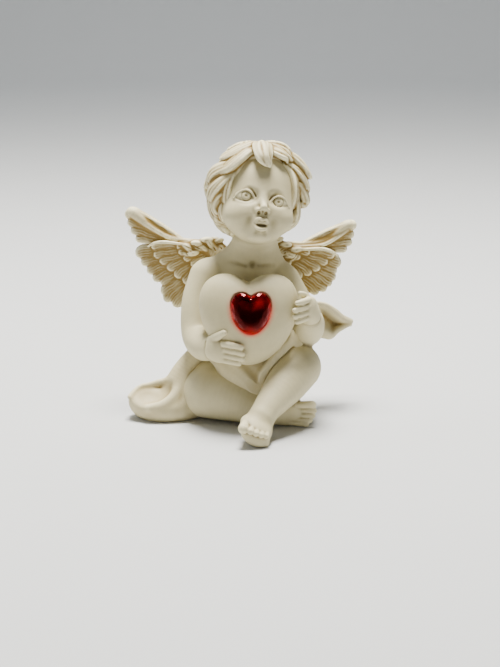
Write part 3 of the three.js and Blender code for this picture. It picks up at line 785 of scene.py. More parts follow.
class CHERUB_OT_hair(Operator):
    """Model the wavy hair as grooved locks swept over the scalp and fused like a casting"""

    bl_idname = "cherub.hair"
    bl_label = "Hair"

    def execute(self, context):
        shells = Shells()
        scalp_cap(shells)
        chance = np.random.default_rng(3)
        for stations, width, height, strands in [*crown_locks(), *HERO_LOCKS]:
            lock_shell(shells, stations, width, height, strands, chance)
        mesh = fused("hair_locks", *shells.arrays(), sizes().hair_grain, 1)
        recess_and_crest(mesh, 0.05, 0.35)
        material = bisque("washed_hair", colours().ochre, 1.3, 1.3, 0.42)
        add_piece("hair_locks", mesh, material, "washed_resin", "hair")
        return {"FINISHED"}


# ---- Wings ---------------------------------------------------------------------------

RIGHT_FEATHERS = (
    # rows of (root x, root z, tip x, tip z, half width), each row over the one before
    [(9, 2.2, 19.2, 7.9, 1.35), (9, 1.8, 19.4, 6.1, 1.1), (9, 1.2, 18.8, 4.4, 1.0), (9, 0.6, 17.9, 2.7, 0.95),
     (8, -0.2, 18.0, -0.3, 1.5), (8, -1.2, 16.9, -2.2, 1.2), (7.5, -1.6, 15.7, -4.0, 1.25),
     (7, -2.2, 14.5, -5.7, 1.2), (6.5, -2.8, 13.0, -6.4, 1.2), (6, -4.0, 12.8, -8.6, 1.3),
     (6.5, -5.0, 12.3, -10.0, 1.3), (5, -5.0, 10.4, -11.1, 1.5), (3, -4.0, 7.5, -11.0, 1.6)],
    [(6, 1.2, 14.6, 1.2, 1.1), (6, 0.4, 14.2, -0.5, 1.1), (6, -0.4, 13.0, -1.8, 1.1),
     (5.5, -1.0, 11.5, -3.2, 1.2), (5, -1.6, 10.0, -4.8, 1.2), (4, -2.0, 8.2, -6.2, 1.2),
     (2, -2.0, 5.6, -6.8, 1.3)],
    [(2, 1.4, 9.6, 1.4, 0.9), (2, 0.8, 9.2, 0.2, 0.9), (2, 0.2, 8.2, -1.1, 0.9), (1.5, -0.2, 6.8, -2.3, 0.9),
     (1, -0.6, 5.0, -3.3, 0.9)],
)  # fmt: skip
LEFT_FEATHERS = (
    [(9, 2.4, 18.2, 7.3, 1.3), (9, 2.2, 18.8, 5.9, 1.0), (9, 1.6, 18.6, 4.2, 0.95), (9, 1.0, 17.8, 2.7, 0.9),
     (8, 0.6, 17.0, -0.5, 1.45), (8, -0.4, 16.4, -2.2, 1.0), (7.5, -1.0, 16.3, -3.6, 1.1),
     (7, -1.6, 15.7, -4.9, 1.0), (6.5, -2.2, 14.8, -6.1, 1.1), (6, -2.8, 13.3, -6.9, 1.2),
     (5, -3.0, 11.2, -7.3, 1.3), (4, -3.4, 8.8, -7.6, 1.4)],
    [(6, 1.4, 15.4, 1.3, 1.1), (6, 0.8, 14.2, -0.3, 1.1), (6, 0.2, 12.8, -1.8, 1.1),
     (5.5, -0.4, 11.2, -3.0, 1.1), (5, -1.0, 9.4, -4.0, 1.2), (3.5, -1.4, 7.0, -4.8, 1.2)],
    [(2, 1.5, 10.4, 1.4, 0.9), (2, 0.8, 8.6, 0.2, 0.9), (1.6, 0.2, 7.0, -1.2, 0.9),
     (1, -0.4, 5.0, -2.4, 0.9)],
)  # fmt: skip
RIGHT_RIDGES = [
    # (x, y, z, radius) along the wing's arm and the rims of its covert groups
    [(-0.2, -1.6, -0.6, 1.9), (3.0, -0.6, 1.0, 1.3), (6.5, -0.4, 2.0, 0.75), (10.6, -0.4, 2.9, 0.5), 
     (13.3, -0.2, 4.25, 0.5), (15.4, 0.2, 5.6, 0.7), (16.9, 0.6, 6.95, 1.05), (18.2, 1.0, 7.8, 1.2),
     (18.9, 1.3, 7.4, 1.0)],
    [(8.6, -1.3, 1.9, 0.25), (10.2, -1.35, 2.15, 0.3), (12.2, -1.2, 2.3, 0.32), (14.0, -0.9, 2.0, 0.3),
     (15.2, -0.6, 1.3, 0.2)],
]  # fmt: skip
LEFT_RIDGES = [
    [(-0.2, -1.6, -0.6, 1.9), (3.0, -0.6, 1.2, 1.2), (6.0, -0.4, 2.4, 0.65), (9.6, -0.4, 3.0, 0.42), 
     (12.2, -0.2, 3.65, 0.42), (14.0, 0.1, 4.6, 0.48), (15.6, 0.4, 6.1, 0.75), (16.9, 0.8, 7.35, 1.0),
     (17.9, 1.1, 7.5, 1.1)],
    [(7.0, -1.0, 2.3, 0.3), (9.6, -0.9, 2.55, 0.34), (12.9, -0.6, 3.3, 0.38), (15.5, 0.0, 5.15, 0.42),
     (17.2, 0.5, 6.6, 0.4)],
    [(8.2, -1.4, 1.9, 0.28), (10.1, -1.45, 2.15, 0.32), (11.9, -1.35, 2.45, 0.34), (13.6, -1.1, 2.4, 0.34),
     (15.0, -0.8, 1.95, 0.3), (16.1, -0.5, 1.3, 0.2)],
]  # fmt: skip


ROW_HEIGHTS = (0.0, 0.4, 0.75)
TUFTS = 22


def feather(x, z, blade, layer):
    """One feather over a flat grid. u runs from its root and v across it. The half width opens from the
    root and closes as a quarter circle at the tip. The height is the layer, plus a rise towards the tip
    and a crowned blade, less grooves that run along the feather and wander a little. Returns the height
    and the distance to the feather's outline."""
    x0, z0, x1, z1, half = blade
    length = np.hypot(x1 - x0, z1 - z0)
    way = np.array([x1 - x0, z1 - z0]) / length
    u = (x - x0) * way[0] + (z - z0) * way[1]
    t = u / length
    v = (z - z0) * way[0] - (x - x0) * way[1] - 0.35 * np.sin(np.pi * np.clip(t, 0, 1))
    shoulder = 1 - half * 1.2 / length
    width = half * np.where(t < shoulder, 0.75 + 0.25 * np.clip(t / shoulder, 0, 1), 1.0)
    width = width * np.sqrt(np.clip(1 - np.clip((t - shoulder) / (1 - shoulder), 0, 1) ** 2, 0.0004, 1))
    crown = 0.4 * np.sqrt(np.clip(1 - (v / width) ** 2, 0, 1))
    wander = v + 0.1 * np.sin(1.3 * u + 5 * x1) + 0.05 * np.sin(2.9 * u + 3 * z1)
    groove = 0.5 + 0.5 * np.cos(2 * np.pi * wander / sizes().barb_pitch)
    groove = groove**2 * (0.65 + 0.35 * np.sin(1.9 * u + 4 * z1)) * sizes().barb_depth
    height = layer + 0.45 * np.clip(t, 0, 1) + crown - groove
    outline = np.maximum(np.abs(v) - width, np.maximum((t - 1) * length, -u - 0.2))
    return np.where(outline < 0.02, height, -9.0), outline


def wing_relief(x, z, rows):
    """Front and back heights of a wing and the distance to its outline, over a flat grid. Each row of
    feathers lies a step above the one it covers, and the highest feather shows."""
    front, back = np.full(x.shape, -9.0), np.full(x.shape, -9.0)
    outline = np.full(x.shape, 9.0)
    for blades, layer in zip(rows, ROW_HEIGHTS, strict=True):
        for i, blade in enumerate(blades):
            above, edge = feather(x, z, blade, layer + 0.03 * (len(blades) - i))
            front = np.maximum(front, above)
            outline = np.minimum(outline, edge)
            back = np.maximum(back, feather(x, z, blade, 0.8 * layer + 0.06 * (i % 3))[0])
    return front, back, outline


def wing_clay(side, root, lower, rows, ridges):
    """A wing as a plate between its front and back reliefs, rounded where they meet the outline, with
    its ridges and the downy tufts at its shoulder melted on. The plate is swept back as it runs
    outwards."""
    turn = turning(0, side * lower, 0)
    clay = Clay((-3.2, -3.6, -13.6), (21.5, 4.6, 10.8), sizes().wing_grain)
    x, z = np.meshgrid(clay.axes[0], clay.axes[2], indexing="ij")
    front, back, outline = wing_relief(x.astype(float), z.astype(float), rows)
    front, back = np.clip(front, 0.0, 3.0), np.clip(back, 0.0, 3.0)
    middle = 0.006 * x**2 - 0.02 * x
    y = clay.axes[1][None, :, None]
    ahead, behind = middle - 0.3 - 0.7 * front, middle + 0.3 + 0.5 * back
    faces = np.maximum(ahead[:, None, :] - y, y - behind[:, None, :])
    outline = np.broadcast_to(outline[:, None, :], faces.shape)
    clay.field = -melted(-faces, -outline, 0.5).astype(np.float32)
    for i, ridge in enumerate(ridges):
        clay.add(limb(*((np.array(p[:3]), p[3]) for p in ridge)), 0.4 if i == 0 else 0.25)
    chance = np.random.default_rng(5 if side < 0 else 6)
    for k in range(TUFTS):
        t = k / (TUFTS - 1)
        height = 1.5 + 1.5 * np.sin(np.pi * min(t * 1.15, 1)) - 0.8 * (k % 3)
        place = np.array([0.4 + 7.0 * t, -1.1 - 0.35 * (k % 2), height])
        place += chance.uniform(-0.3, 0.3, 3)
        bend = turning(0, chance.uniform(-60, 30), 0)
        clay.add(ball(place, (1.25, 0.7, 0.6), bend), 0.3)
        clay.carve(ball(place + bend @ (0.2, -0.75, 0.0), (1.0, 0.2, 0.1), bend), 0.1)
    points, faces = clay.skin()
    points = points * (side, 1, 1) @ turn.T + root
    return points, faces if side > 0 else faces[:, ::-1]


class CHERUB_OT_wings(Operator):
    """Model both wings: three rows of grooved feathers, the ridges of the arm and the downy shoulder"""

    bl_idname = "cherub.wings"
    bl_label = "Wings"

    def execute(self, context):
        material = bisque("washed_wing", colours().ochre, 1.0, 1.15, 0.82)
        wings = (
            ("wing_right", -1, 0.0, RIGHT_FEATHERS, RIGHT_RIDGES),
            ("wing_left", 1, 7.0, LEFT_FEATHERS, LEFT_RIDGES),
        )
        for name, side, lower, rows, ridges in wings:
            root = SEAT + (side * 3.2 - 1.6, 3.8, 25.3)
            mesh = new_mesh(name + "_feathers", *wing_clay(side, root, lower, rows, ridges))
            recess_and_crest(mesh, 0.045, 0.3)
            add_piece(name + "_feathers", mesh, material, "washed_resin", name)
        return {"FINISHED"}


# ---- Sash ----------------------------------------------------------------------------


def sash_clay():
    """The tail that lies cupped on the table, the band over the hip and the folds across the lap.
    Measured from the seat."""
    low, high = node_span("sash")
    clay = Clay(low - 1.5, high + 1.5, sizes().cloth_grain)

    def run(blend, *stations):
        clay.add(from_seat(*stations), blend)

    clay.add(ball(SEAT + (-16.4, -7.4, -3.2), (6.5, 4.3, 3.4)))
    clay.add(ball(SEAT + (-20.4, -7.6, -1.8), (3.2, 3.0, 2.5)), 1.5)
    clay.add(ball(SEAT + (-12.4, -5.6, -2.4), (5.0, 4.6, 4.0)), 1.5)
    hip = [(-9.2, -4.2, 8.0, 1.5), (-11.6, -5.2, 5.2, 2.0), (-13.6, -6.0, 1.6, 2.6), (-14.2, -6.4, -1.6, 2.8)]
    rim = [(-23.2, -8.9, -0.7, 0.5), (-21.4, -7.3, 0.7, 0.7), (-19.2, -6.4, 0.9, 0.7),
           (-17.2, -6.0, 1.3, 0.7), (-15.0, -6.0, 1.7, 0.7)]  # fmt: skip
    run(1.4, *hip)
    run(0.9, *rim)
    clay.carve(ball(SEAT + (-19.4, -11.2, 0.7), (5.2, 4.6, 2.9), turning(18, 4, 10)), 1.1)
    near_rim = [(-12.8, -7.4, 2.4, 0.7), (-14.4, -9.4, -0.1, 0.85), (-16.6, -10.6, -1.7, 0.8),
                (-19.4, -10.9, -2.4, 0.6)]  # fmt: skip
    crease = [(-10.6, -4.4, 7.0, 0.8), (-12.4, -7.2, 3.2, 0.8), (-12.4, -9.4, -0.6, 0.7),
              (-13.4, -10.2, -3.6, 0.7)]  # fmt: skip
    run(1.1, *near_rim)
    run(0.8, *crease)
    clay.add(ball(SEAT + (0.6, -8.4, 3.6), (6.4, 4.4, 5.2)), 0.8)
    run(2.2, (-8.2, -5.0, 8.2, 1.7), (-4.4, -9.0, 6.2, 2.0), (-1.0, -11.4, 3.8, 1.5), (1.6, -12.8, 1.9, 0.9))
    run(2.2, (11.4, -5.4, 11.0, 1.9), (8.2, -8.6, 9.2, 2.2), (5.0, -11.2, 5.8, 1.7), (2.2, -12.9, 2.4, 0.9))
    run(0.9, (10.6, -7.2, 13.2, 1.0), (7.0, -10.6, 10.2, 1.0), (3.8, -12.6, 6.6, 0.8), (1.8, -13.3, 3.6, 0.5))
    run(0.8, (-6.6, -8.2, 8.6, 0.8), (-2.6, -11.4, 6.4, 0.8), (0.6, -13.0, 3.9, 0.5))
    clay.carve(from_seat((-2.0, -12.4, 8.0, 0.5), (0.4, -13.4, 5.6, 0.55), (1.7, -13.9, 3.4, 0.4)), 1.0)
    clay.carve(from_seat((8.4, -10.6, 9.4, 0.3), (5.0, -12.9, 6.2, 0.35), (2.6, -14.0, 3.2, 0.3)), 0.8)
    clay.cut_below(0.0)
    return clay


def flying_end():
    """The free end of the sash as a sheet: straight rulings from its top edge to its bottom edge,
    pushed back and forth by a wave across the width that grows from the arm to the tip."""
    top = [(10.2, -3.6, 14.6), (12.0, -1.6, 16.2), (14.8, -0.2, 15.9), (17.0, 0.5, 14.4), (18.6, 0.9, 12.8),
           (20.6, 1.0, 11.6)]  # fmt: skip
    low = [(9.8, -4.0, 9.6), (12.6, -2.0, 9.4), (14.6, -0.4, 9.1), (16.2, 0.6, 8.7), (17.8, 0.9, 10.0),
           (20.4, 1.0, 11.2)]  # fmt: skip
    top, low = smooth_path(top, 8), smooth_path(low, 8)
    u = np.linspace(0, 1, len(top))[:, None]
    v = np.linspace(0, 1, 34)[None, :]
    sheet = top[:, None, :] * (1 - v[..., None]) + low[:, None, :] * v[..., None]
    wave = np.cos(2 * np.pi * (1.25 * v - 0.35 * u + 0.1)) * (0.35 + 0.95 * np.sin(np.pi * u))
    sheet[..., 1] -= wave * 1.15
    sheet[..., 2] += 0.35 * np.sin(2 * np.pi * (1.25 * v + 0.1)) * u
    return sheet + SEAT


def slab(sheet, thickness):
    """A sheet given a thickness: its grid is carried half the thickness along its normals each way, and
    the two are joined round the edge by a rounded strip of rows."""
    du, dv = np.gradient(sheet, axis=0), np.gradient(sheet, axis=1)
    normal = np.cross(du, dv)
    normal /= np.maximum(np.linalg.norm(normal, axis=-1, keepdims=True), 1e-9)
    lift = normal * thickness / 2
    steps = np.linspace(0, np.pi, 7)[1:-1]

    def rounded(column, sign):
        edge = sign * dv[:, column] / np.linalg.norm(dv[:, column], axis=-1, keepdims=True) * thickness / 2
        return [sheet[:, column] + sign * lift[:, column] * np.cos(a) + edge * np.sin(a) for a in steps]

    columns = range(sheet.shape[1])
    rows = [sheet[:, i] + lift[:, i] for i in columns] + rounded(-1, 1)
    rows += [sheet[:, i] - lift[:, i] for i in reversed(columns)] + rounded(0, -1)
    return np.stack(rows, axis=1)


class CHERUB_OT_sash(Operator):
    """Model the sash: the cupped tail on the table, the folds over the lap and the flying end"""

    bl_idname = "cherub.sash"
    bl_label = "Sash"

    def execute(self, context):
        material = bisque("sash_resin", colours().ochre, 0.6, 0.5, 0.2)
        mesh = new_mesh("sash_folds", *sash_clay().skin())
        recess_and_crest(mesh, 0.06, 0.5)
        add_piece("sash_folds", mesh, material, "sash_resin", "sash")
        grid = slab(flying_end(), sizes().cloth_thickness)
        shells = Shells()
        shells.add(grid, *tube_faces(*grid.shape[:2]))
        mesh = fused("sash_flying_end", *shells.arrays(), sizes().cloth_grain, 2)
        recess_and_crest(mesh, 0.06, 0.5)
        add_piece("sash_flying_end", mesh, material, "sash_resin", "sash")
        return {"FINISHED"}


# ---- Heart and stone -----------------------------------------------------------------


def heart_outline(t, width, height):
    """Heart shape at angle t from its notch: x is a sum of sines of t, 2t and 3t, z of cosines of t to
    4t, less a narrow dip at the notch."""
    x = 0.848 * np.sin(t) - 0.028 * np.sin(2 * t) - 0.152 * np.sin(3 * t)
    z = 1.004 * np.cos(t) - 0.209 * np.cos(2 * t) - 0.142 * np.cos(3 * t) + 0.018 * np.cos(4 * t)
    z = z - 0.04 * np.exp(-((np.sin(t / 2) / 0.18) ** 2))
    return np.stack([x * width / 2, (z + 0.13) * height / 1.846], axis=-1)


HEART_SIZE = (18.8, 17.4, 9.6)  # width, height, thickness
HEART_FRONT = HEART_SIZE[2] / 2
STONE_AT = np.array([0.45, 1.65])  # across and up the heart's front
POCKET_DEPTH = 1.9
POCKET_PLAY = 0.3
# How far the red light that is painted on the resin round the stone reaches.
PAINTED_RED_LIGHT_REACH = 0.6


def pillow(flat):
    """Front of the heart over flat points: with s the point's distance from the middle over the
    outline's distance that way, the height is half the thickness times the root of 1 less s to the
    power 2.38."""
    t = np.linspace(0, 2 * np.pi, 721)
    rim = heart_outline(t, *HEART_SIZE[:2])
    bearing = np.unwrap(np.arctan2(rim[:, 0], rim[:, 1]))
    order = np.argsort(bearing)
    reach = np.interp(
        np.arctan2(flat[..., 0], flat[..., 1]), bearing[order], np.hypot(*rim.T)[order], period=2 * np.pi
    )
    s = np.clip(np.hypot(flat[..., 0], flat[..., 1]) / reach, 0, 1)
    return HEART_FRONT * np.sqrt(1 - s**2.38)


def on_heart(flat, out):
    """From flat heart coordinates and a height out of the front to the figurine's frame."""
    local = np.stack([flat[..., 0], -out, flat[..., 1]], axis=-1)
    return HEART + local @ HEART_TURN.T


class CHERUB_OT_heart(Operator):
    """Model the puffed heart with its pocket for the stone"""

    bl_idname = "cherub.heart"
    bl_label = "Heart"

    def execute(self, context):
        columns = 320
        t = np.linspace(0, 2 * np.pi, columns, endpoint=False)
        rim = heart_outline(t, *HEART_SIZE[:2])
        width, height = sizes().stone_width + POCKET_PLAY, sizes().stone_height + POCKET_PLAY
        mouth = heart_outline(t, width, height) + STONE_AT
        floor = STONE_AT + (mouth - STONE_AT) * 0.9
        bottom = HEART_FRONT - POCKET_DEPTH
        rows = []
        for share in np.linspace(0.04, 1, 6):
            rows.append(on_heart(STONE_AT + (floor - STONE_AT) * share, np.full(columns, bottom)))
        lip = pillow(mouth)
        for share in np.linspace(0.15, 0.85, 5):
            rows.append(on_heart(floor + (mouth - floor) * share, bottom + (lip - bottom) * share))
        for reach, drop in ((0.0, 0.12), (0.01, 0.05), (0.025, 0.01)):
            flat = mouth + (rim - mouth) * reach
            rows.append(on_heart(flat, pillow(flat) - drop))
        for share in np.sin(np.linspace(0.05, np.pi / 2, 46)):
            flat = mouth + (rim - mouth) * share
            rows.append(on_heart(flat, pillow(flat)))
        for share in np.sin(np.linspace(np.pi / 2, 0.03, 36))[1:]:
            flat = rim * share
            rows.append(on_heart(flat, -pillow(flat)))
        grid = np.stack(rows)
        mesh = new_mesh("heart_body", grid.reshape(-1, 3), np.vstack(tube_faces(len(grid), columns)))
        recess_and_crest(mesh, 0.08, 0.6)
        # Painted light: red light from the stone on the resin just round it, stronger low down and on the
        # front only, kept as an attribute for the paint.
        flat = (mesh_points(mesh) / MM - ORIGIN - HEART) @ HEART_TURN
        edge = heart_outline(t, sizes().stone_width, sizes().stone_height) + STONE_AT
        near = np.sqrt(((flat[:, None, [0, 2]] - edge[None, ::4]) ** 2).sum(-1)).min(1)
        lower = np.clip(0.8 - 0.2 * (flat[:, 2] - STONE_AT[1]), 0.15, 1.0)
        store(mesh, "painted_red_light", np.exp(-((near / PAINTED_RED_LIGHT_REACH) ** 2)) * lower * (flat[:, 1] < 0))
        # The heart's wash of flesh shade is partly painted shade in its recesses, and a stain of it darkens
        # the whole heart in patches.
        material = bisque("heart_resin", colours().shade, 0.6, 0.25, 0.14, painted_red_light=True)
        add_piece("heart_body", mesh, material, "cream_resin", "heart")
        return {"FINISHED"}


def stone_ring(t, scale, out):
    """The stone's outline at angles t, scaled and lifted off the level of the heart's front."""
    flat = heart_outline(t, sizes().stone_width * scale, sizes().stone_height * scale) + STONE_AT
    return on_heart(flat, np.full(len(t), HEART_FRONT + out))


STONE_LEVELS = [
    # scale of the outline, shift along it in facets and height, from the table of the stone down to its point
    (0.04, 0.5, 1.05), (0.5, 0.5, 1.05), (0.64, 0.0, 1.02), (0.84, 0.5, 0.72), (0.985, 0.0, 0.2),
    (1.0, 0.0, 0.12), (1.0, 0.0, -0.12), (0.98, 0.0, -0.2), (0.66, 0.5, -0.72), (0.3, 0.0, -1.12),
    (0.03, 0.0, -1.3),
]  # fmt: skip
FOIL_LEVELS = [
    # scale of the outline and height: the side towards the stone, the edge, and the side towards the pocket
    (0.03, -1.5), (0.3, -1.36), (0.55, -1.1), (0.76, -0.76), (0.8, -0.7),
    (0.81, -0.78), (0.77, -0.88), (0.55, -1.22), (0.3, -1.5), (0.03, -1.62),
]  # fmt: skip


def facets(count, levels):
    """Triangles between the rings of a stone. Where a ring is shifted by half a facet, each pair leans
    that way."""
    i = np.arange(count)
    j = (i + 1) % count
    faces = []
    for row, (level, lower) in enumerate(zip(levels, levels[1:], strict=False)):
        a, b = row * count, (row + 1) * count
        shift = lower[1] - level[1]
        if shift > 0:
            faces += [np.stack([a + i, a + j, b + i], -1), np.stack([b + i, a + j, b + j], -1)]
        else:
            faces += [np.stack([a + i, b + j, b + i], -1), np.stack([a + i, a + j, b + j], -1)]
    last = (len(levels) - 1) * count
    k = np.arange(1, count - 1)
    faces += [np.stack([0 * k, k + 1, k], -1), np.stack([0 * k + last, last + k, last + k + 1], -1)]
    return np.vstack(faces)


class CHERUB_OT_stone(Operator):
    """Model the faceted red stone and the foil behind it"""

    bl_idname = "cherub.stone"
    bl_label = "Stone"

    def execute(self, context):
        count = 22
        step = 2 * np.pi / count
        around = np.arange(count)
        rings = [stone_ring((around + shift) * step, scale, out) for scale, shift, out in STONE_LEVELS]
        points = np.vstack(rings)
        mesh = new_mesh("stone_facets", points, facets(count, STONE_LEVELS))
        flat = ((points - HEART) @ HEART_TURN)[:, [0, 2]] - STONE_AT
        # Painted light: a red light along the stone's rim, stronger low down, and two painted highlights on
        # facets, which the material turns into a brighter red and an emission.
        rim = np.clip((np.hypot(*flat.T) / (0.5 * sizes().stone_width) - 0.78) / 0.25, 0, 1)
        painted_flash = rim * np.clip(0.7 - 0.2 * flat[:, 1], 0, 1)
        for x, z, reach in ((1.5, 2.1, 0.7), (-0.1, -3.4, 0.7)):
            painted_flash = painted_flash + 0.7 * np.exp(-((np.hypot(flat[:, 0] - x, flat[:, 1] - z) / reach) ** 2))
        store(mesh, "painted_flash", painted_flash)
        add_piece("stone_facets", mesh, red_acrylic(), "red_acrylic", "heart_stone", smooth=False)
        t = np.linspace(0, 2 * np.pi, 96, endpoint=False)
        grid = np.stack([stone_ring(t, scale, out) for scale, out in FOIL_LEVELS])
        mesh = new_mesh("stone_backing", grid.reshape(-1, 3), np.vstack(tube_faces(*grid.shape[:2])))
        add_piece("stone_backing", mesh, silvered_foil(), "foil", "stone_foil")
        return {"FINISHED"}


# ---- Materials -----------------------------------------------------------------------


# Painted light: the red that the stone throws on the resin round it.
PAINTED_RED_LIGHT = (0.8, 0.04, 0.035, 1)
# Painted light: the brighter red and the emitted red of the stone's rim and of its two painted highlights.
PAINTED_FLASH_RED = (0.95, 0.02, 0.025, 1)
PAINTED_FLASH_LIGHT = (0.9, 0.03, 0.03, 1)
FOIL_TONES = ((0.42, 0.42, 0.43, 1), (0.28, 0.27, 0.27, 1))


def fresh_material(name):
    material = bpy.data.materials.new(name)
    material.use_nodes = True
    tree = material.node_tree
    return material, tree, next(n for n in tree.nodes if n.type == "BSDF_PRINCIPLED")


def group_tree(name, inputs, outputs):
    tree = bpy.data.node_groups.new(name, "ShaderNodeTree")
    for label, kind, default in inputs:
        socket = tree.interface.new_socket(label, in_out="INPUT", socket_type=kind)
        socket.default_value = default
    for label, kind in outputs:
        tree.interface.new_socket(label, in_out="OUTPUT", socket_type=kind)
    return tree, tree.nodes.new("NodeGroupInput"), tree.nodes.new("NodeGroupOutput")


def feed(tree, value, socket):
    """Links another node's output to a socket, or sets the socket to a plain value."""
    if isinstance(value, bpy.types.NodeSocket):
        tree.links.new(value, socket)
    else:
        socket.default_value = value


def maths(tree, operation, a, b=0.0, clamp=False):
    node = tree.nodes.new("ShaderNodeMath")
    node.operation, node.use_clamp = operation, clamp
    feed(tree, a, node.inputs[0])
    feed(tree, b, node.inputs[1])
    return node.outputs[0]


def mixed(tree, factor, a, b):
    node = tree.nodes.new("ShaderNodeMix")
    node.data_type = "RGBA"
    for socket, value in ((node.inputs[0], factor), (node.inputs[6], a), (node.inputs[7], b)):
        feed(tree, value, socket)
    return node.outputs[2]


def noise(tree, scale, detail=3.0, roughness=0.6):
    place = tree.nodes.new("ShaderNodeTexCoord")
    node = tree.nodes.new("ShaderNodeTexNoise")
    tree.links.new(place.outputs["Object"], node.inputs["Vector"])
    for label, value in (("Scale", scale), ("Detail", detail), ("Roughness", roughness)):
        node.inputs[label].default_value = value
    return node.outputs["Fac"]


def attribute(tree, name):
    node = tree.nodes.new("ShaderNodeAttribute")
    node.attribute_name = name
    return node.outputs["Fac"]


def antique_paint():
    """Paint of cast resin: mottled cream, an ochre wash that gathers in recesses and breaks up with a
    noise, and a chalky dry-brush on crests. Where the wash is the flesh shade, it is partly painted shade
    in the recesses. Puts out the colour, the roughness and the height of the grain."""
    if "Antique paint" in bpy.data.node_groups:
        return bpy.data.node_groups["Antique paint"]
    tree, given, out = group_tree(
        "Antique paint",
        [
            ("Cream", "NodeSocketColor", (0.7, 0.65, 0.5, 1)),
            ("Wash", "NodeSocketColor", (0.33, 0.21, 0.08, 1)),
            ("Chalk", "NodeSocketColor", (0.9, 0.87, 0.74, 1)),
            ("Wash Amount", "NodeSocketFloat", 1.0),
            ("Chalk Amount", "NodeSocketFloat", 1.0),
            ("Stain", "NodeSocketFloat", 0.0),
        ],
        [("Color", "NodeSocketColor"), ("Roughness", "NodeSocketFloat"), ("Height", "NodeSocketFloat")],
    )
    cloud = noise(tree, 260.0, 4.0, 0.6)
    fleck = noise(tree, 1500.0, 3.0, 0.65)
    pits = noise(tree, 5200.0, 2.0, 0.5)
    mottle = maths(tree, "MULTIPLY", maths(tree, "SUBTRACT", cloud, 0.42, clamp=True), 0.55)
    patchy = maths(tree, "ADD", maths(tree, "MULTIPLY", cloud, 0.9), 0.5)
    stain = maths(tree, "MULTIPLY", given.outputs["Stain"], patchy)
    wash_and_shade = maths(tree, "MULTIPLY", attribute(tree, "recess"), maths(tree, "ADD", fleck, 0.55))
    wash_and_shade = maths(tree, "MULTIPLY", wash_and_shade, given.outputs["Wash Amount"])
    wash_and_shade = maths(tree, "ADD", wash_and_shade, stain)
    wash_and_shade = maths(tree, "ADD", wash_and_shade, maths(tree, "MULTIPLY", mottle, given.outputs["Wash Amount"]), clamp=True)
    washed = mixed(tree, wash_and_shade, given.outputs["Cream"], given.outputs["Wash"])
    brush = maths(tree, "MULTIPLY", attribute(tree, "crest"), maths(tree, "ADD", fleck, 0.35))
    brush = maths(tree, "MULTIPLY", brush, given.outputs["Chalk Amount"], clamp=True)
    tree.links.new(mixed(tree, brush, washed, given.outputs["Chalk"]), out.inputs["Color"])
    rough = maths(tree, "ADD", maths(tree, "MULTIPLY", fleck, 0.16), 0.5)
    tree.links.new(rough, out.inputs["Roughness"])
    grain = maths(tree, "ADD", maths(tree, "MULTIPLY", fleck, 0.6), maths(tree, "MULTIPLY", pits, 0.4))
    tree.links.new(grain, out.inputs["Height"])
    return tree


def bisque(name, wash, wash_amount, chalk_amount, stain=0.0, painted_red_light=False):
    """Matt cast resin with the antique paint: the wash's colour, how much of it and of the dry-brush
    there is, and how far the wash has stained the flats. The last flag paints red light from the stone on
    the resin near it."""
    material, tree, shader = fresh_material(name)
    tone = colours()
    paint = tree.nodes.new("ShaderNodeGroup")
    paint.node_tree = antique_paint()
    for label, value in (("Cream", tone.cream), ("Wash", wash), ("Chalk", tone.chalk)):
        paint.inputs[label].default_value = (*value, 1)
    for label, value in (("Wash Amount", wash_amount), ("Chalk Amount", chalk_amount), ("Stain", stain)):
        paint.inputs[label].default_value = value
    skin = paint.outputs["Color"]
    # Painted light: red light from the stone, laid over the paint near the stone's edge.
    if painted_red_light:
        skin = mixed(tree, attribute(tree, "painted_red_light"), skin, PAINTED_RED_LIGHT)
    tree.links.new(skin, shader.inputs["Base Color"])
    tree.links.new(paint.outputs["Roughness"], shader.inputs["Roughness"])
    bump = tree.nodes.new("ShaderNodeBump")
    bump.inputs["Strength"].default_value = 0.25
    bump.inputs["Distance"].default_value = 0.06 * MM
    tree.links.new(paint.outputs["Height"], bump.inputs["Height"])
    tree.links.new(bump.outputs["Normal"], shader.inputs["Normal"])
    shader.inputs["Specular IOR Level"].default_value = 0.35
    return material


def red_acrylic():
    """Clear red acrylic: light passes through and is tinted, with a faint unevenness in the polish.
    Painted light: a brighter red and a red emission at its rim and two painted highlights on facets stand
    for the light that runs round inside it."""
    material, tree, shader = fresh_material("red_acrylic")
    painted_flash = attribute(tree, "painted_flash")
    wipe = maths(tree, "ADD", maths(tree, "MULTIPLY", noise(tree, 900.0), 0.05), 0.01)
    tree.links.new(mixed(tree, painted_flash, (*colours().stone, 1), PAINTED_FLASH_RED), shader.inputs["Base Color"])
    tree.links.new(wipe, shader.inputs["Roughness"])
    tree.links.new(mixed(tree, painted_flash, (0, 0, 0, 1), PAINTED_FLASH_LIGHT), shader.inputs["Emission Color"])
    shader.inputs["Emission Strength"].default_value = 0.2
    shader.inputs["IOR"].default_value = 1.49
    shader.inputs["Specular IOR Level"].default_value = 0.3
    shader.inputs["Specular Tint"].default_value = (0.9, 0.1, 0.1, 1)
    shader.inputs["Transmission Weight"].default_value = 1.0
    return material


def silvered_foil():
    """Vacuum-silvered backing with faint wrinkles."""
    material, tree, shader = fresh_material("silvered_foil")
    shader.inputs["Metallic"].default_value = 1.0
    tree.links.new(mixed(tree, noise(tree, 700.0), *FOIL_TONES), shader.inputs["Base Color"])
    wrinkles = maths(tree, "MULTIPLY", noise(tree, 1200.0), 0.2)
    tree.links.new(maths(tree, "ADD", wrinkles, 0.05), shader.inputs["Roughness"])
    return material


# ---- Studio --------------------------------------------------------------------------


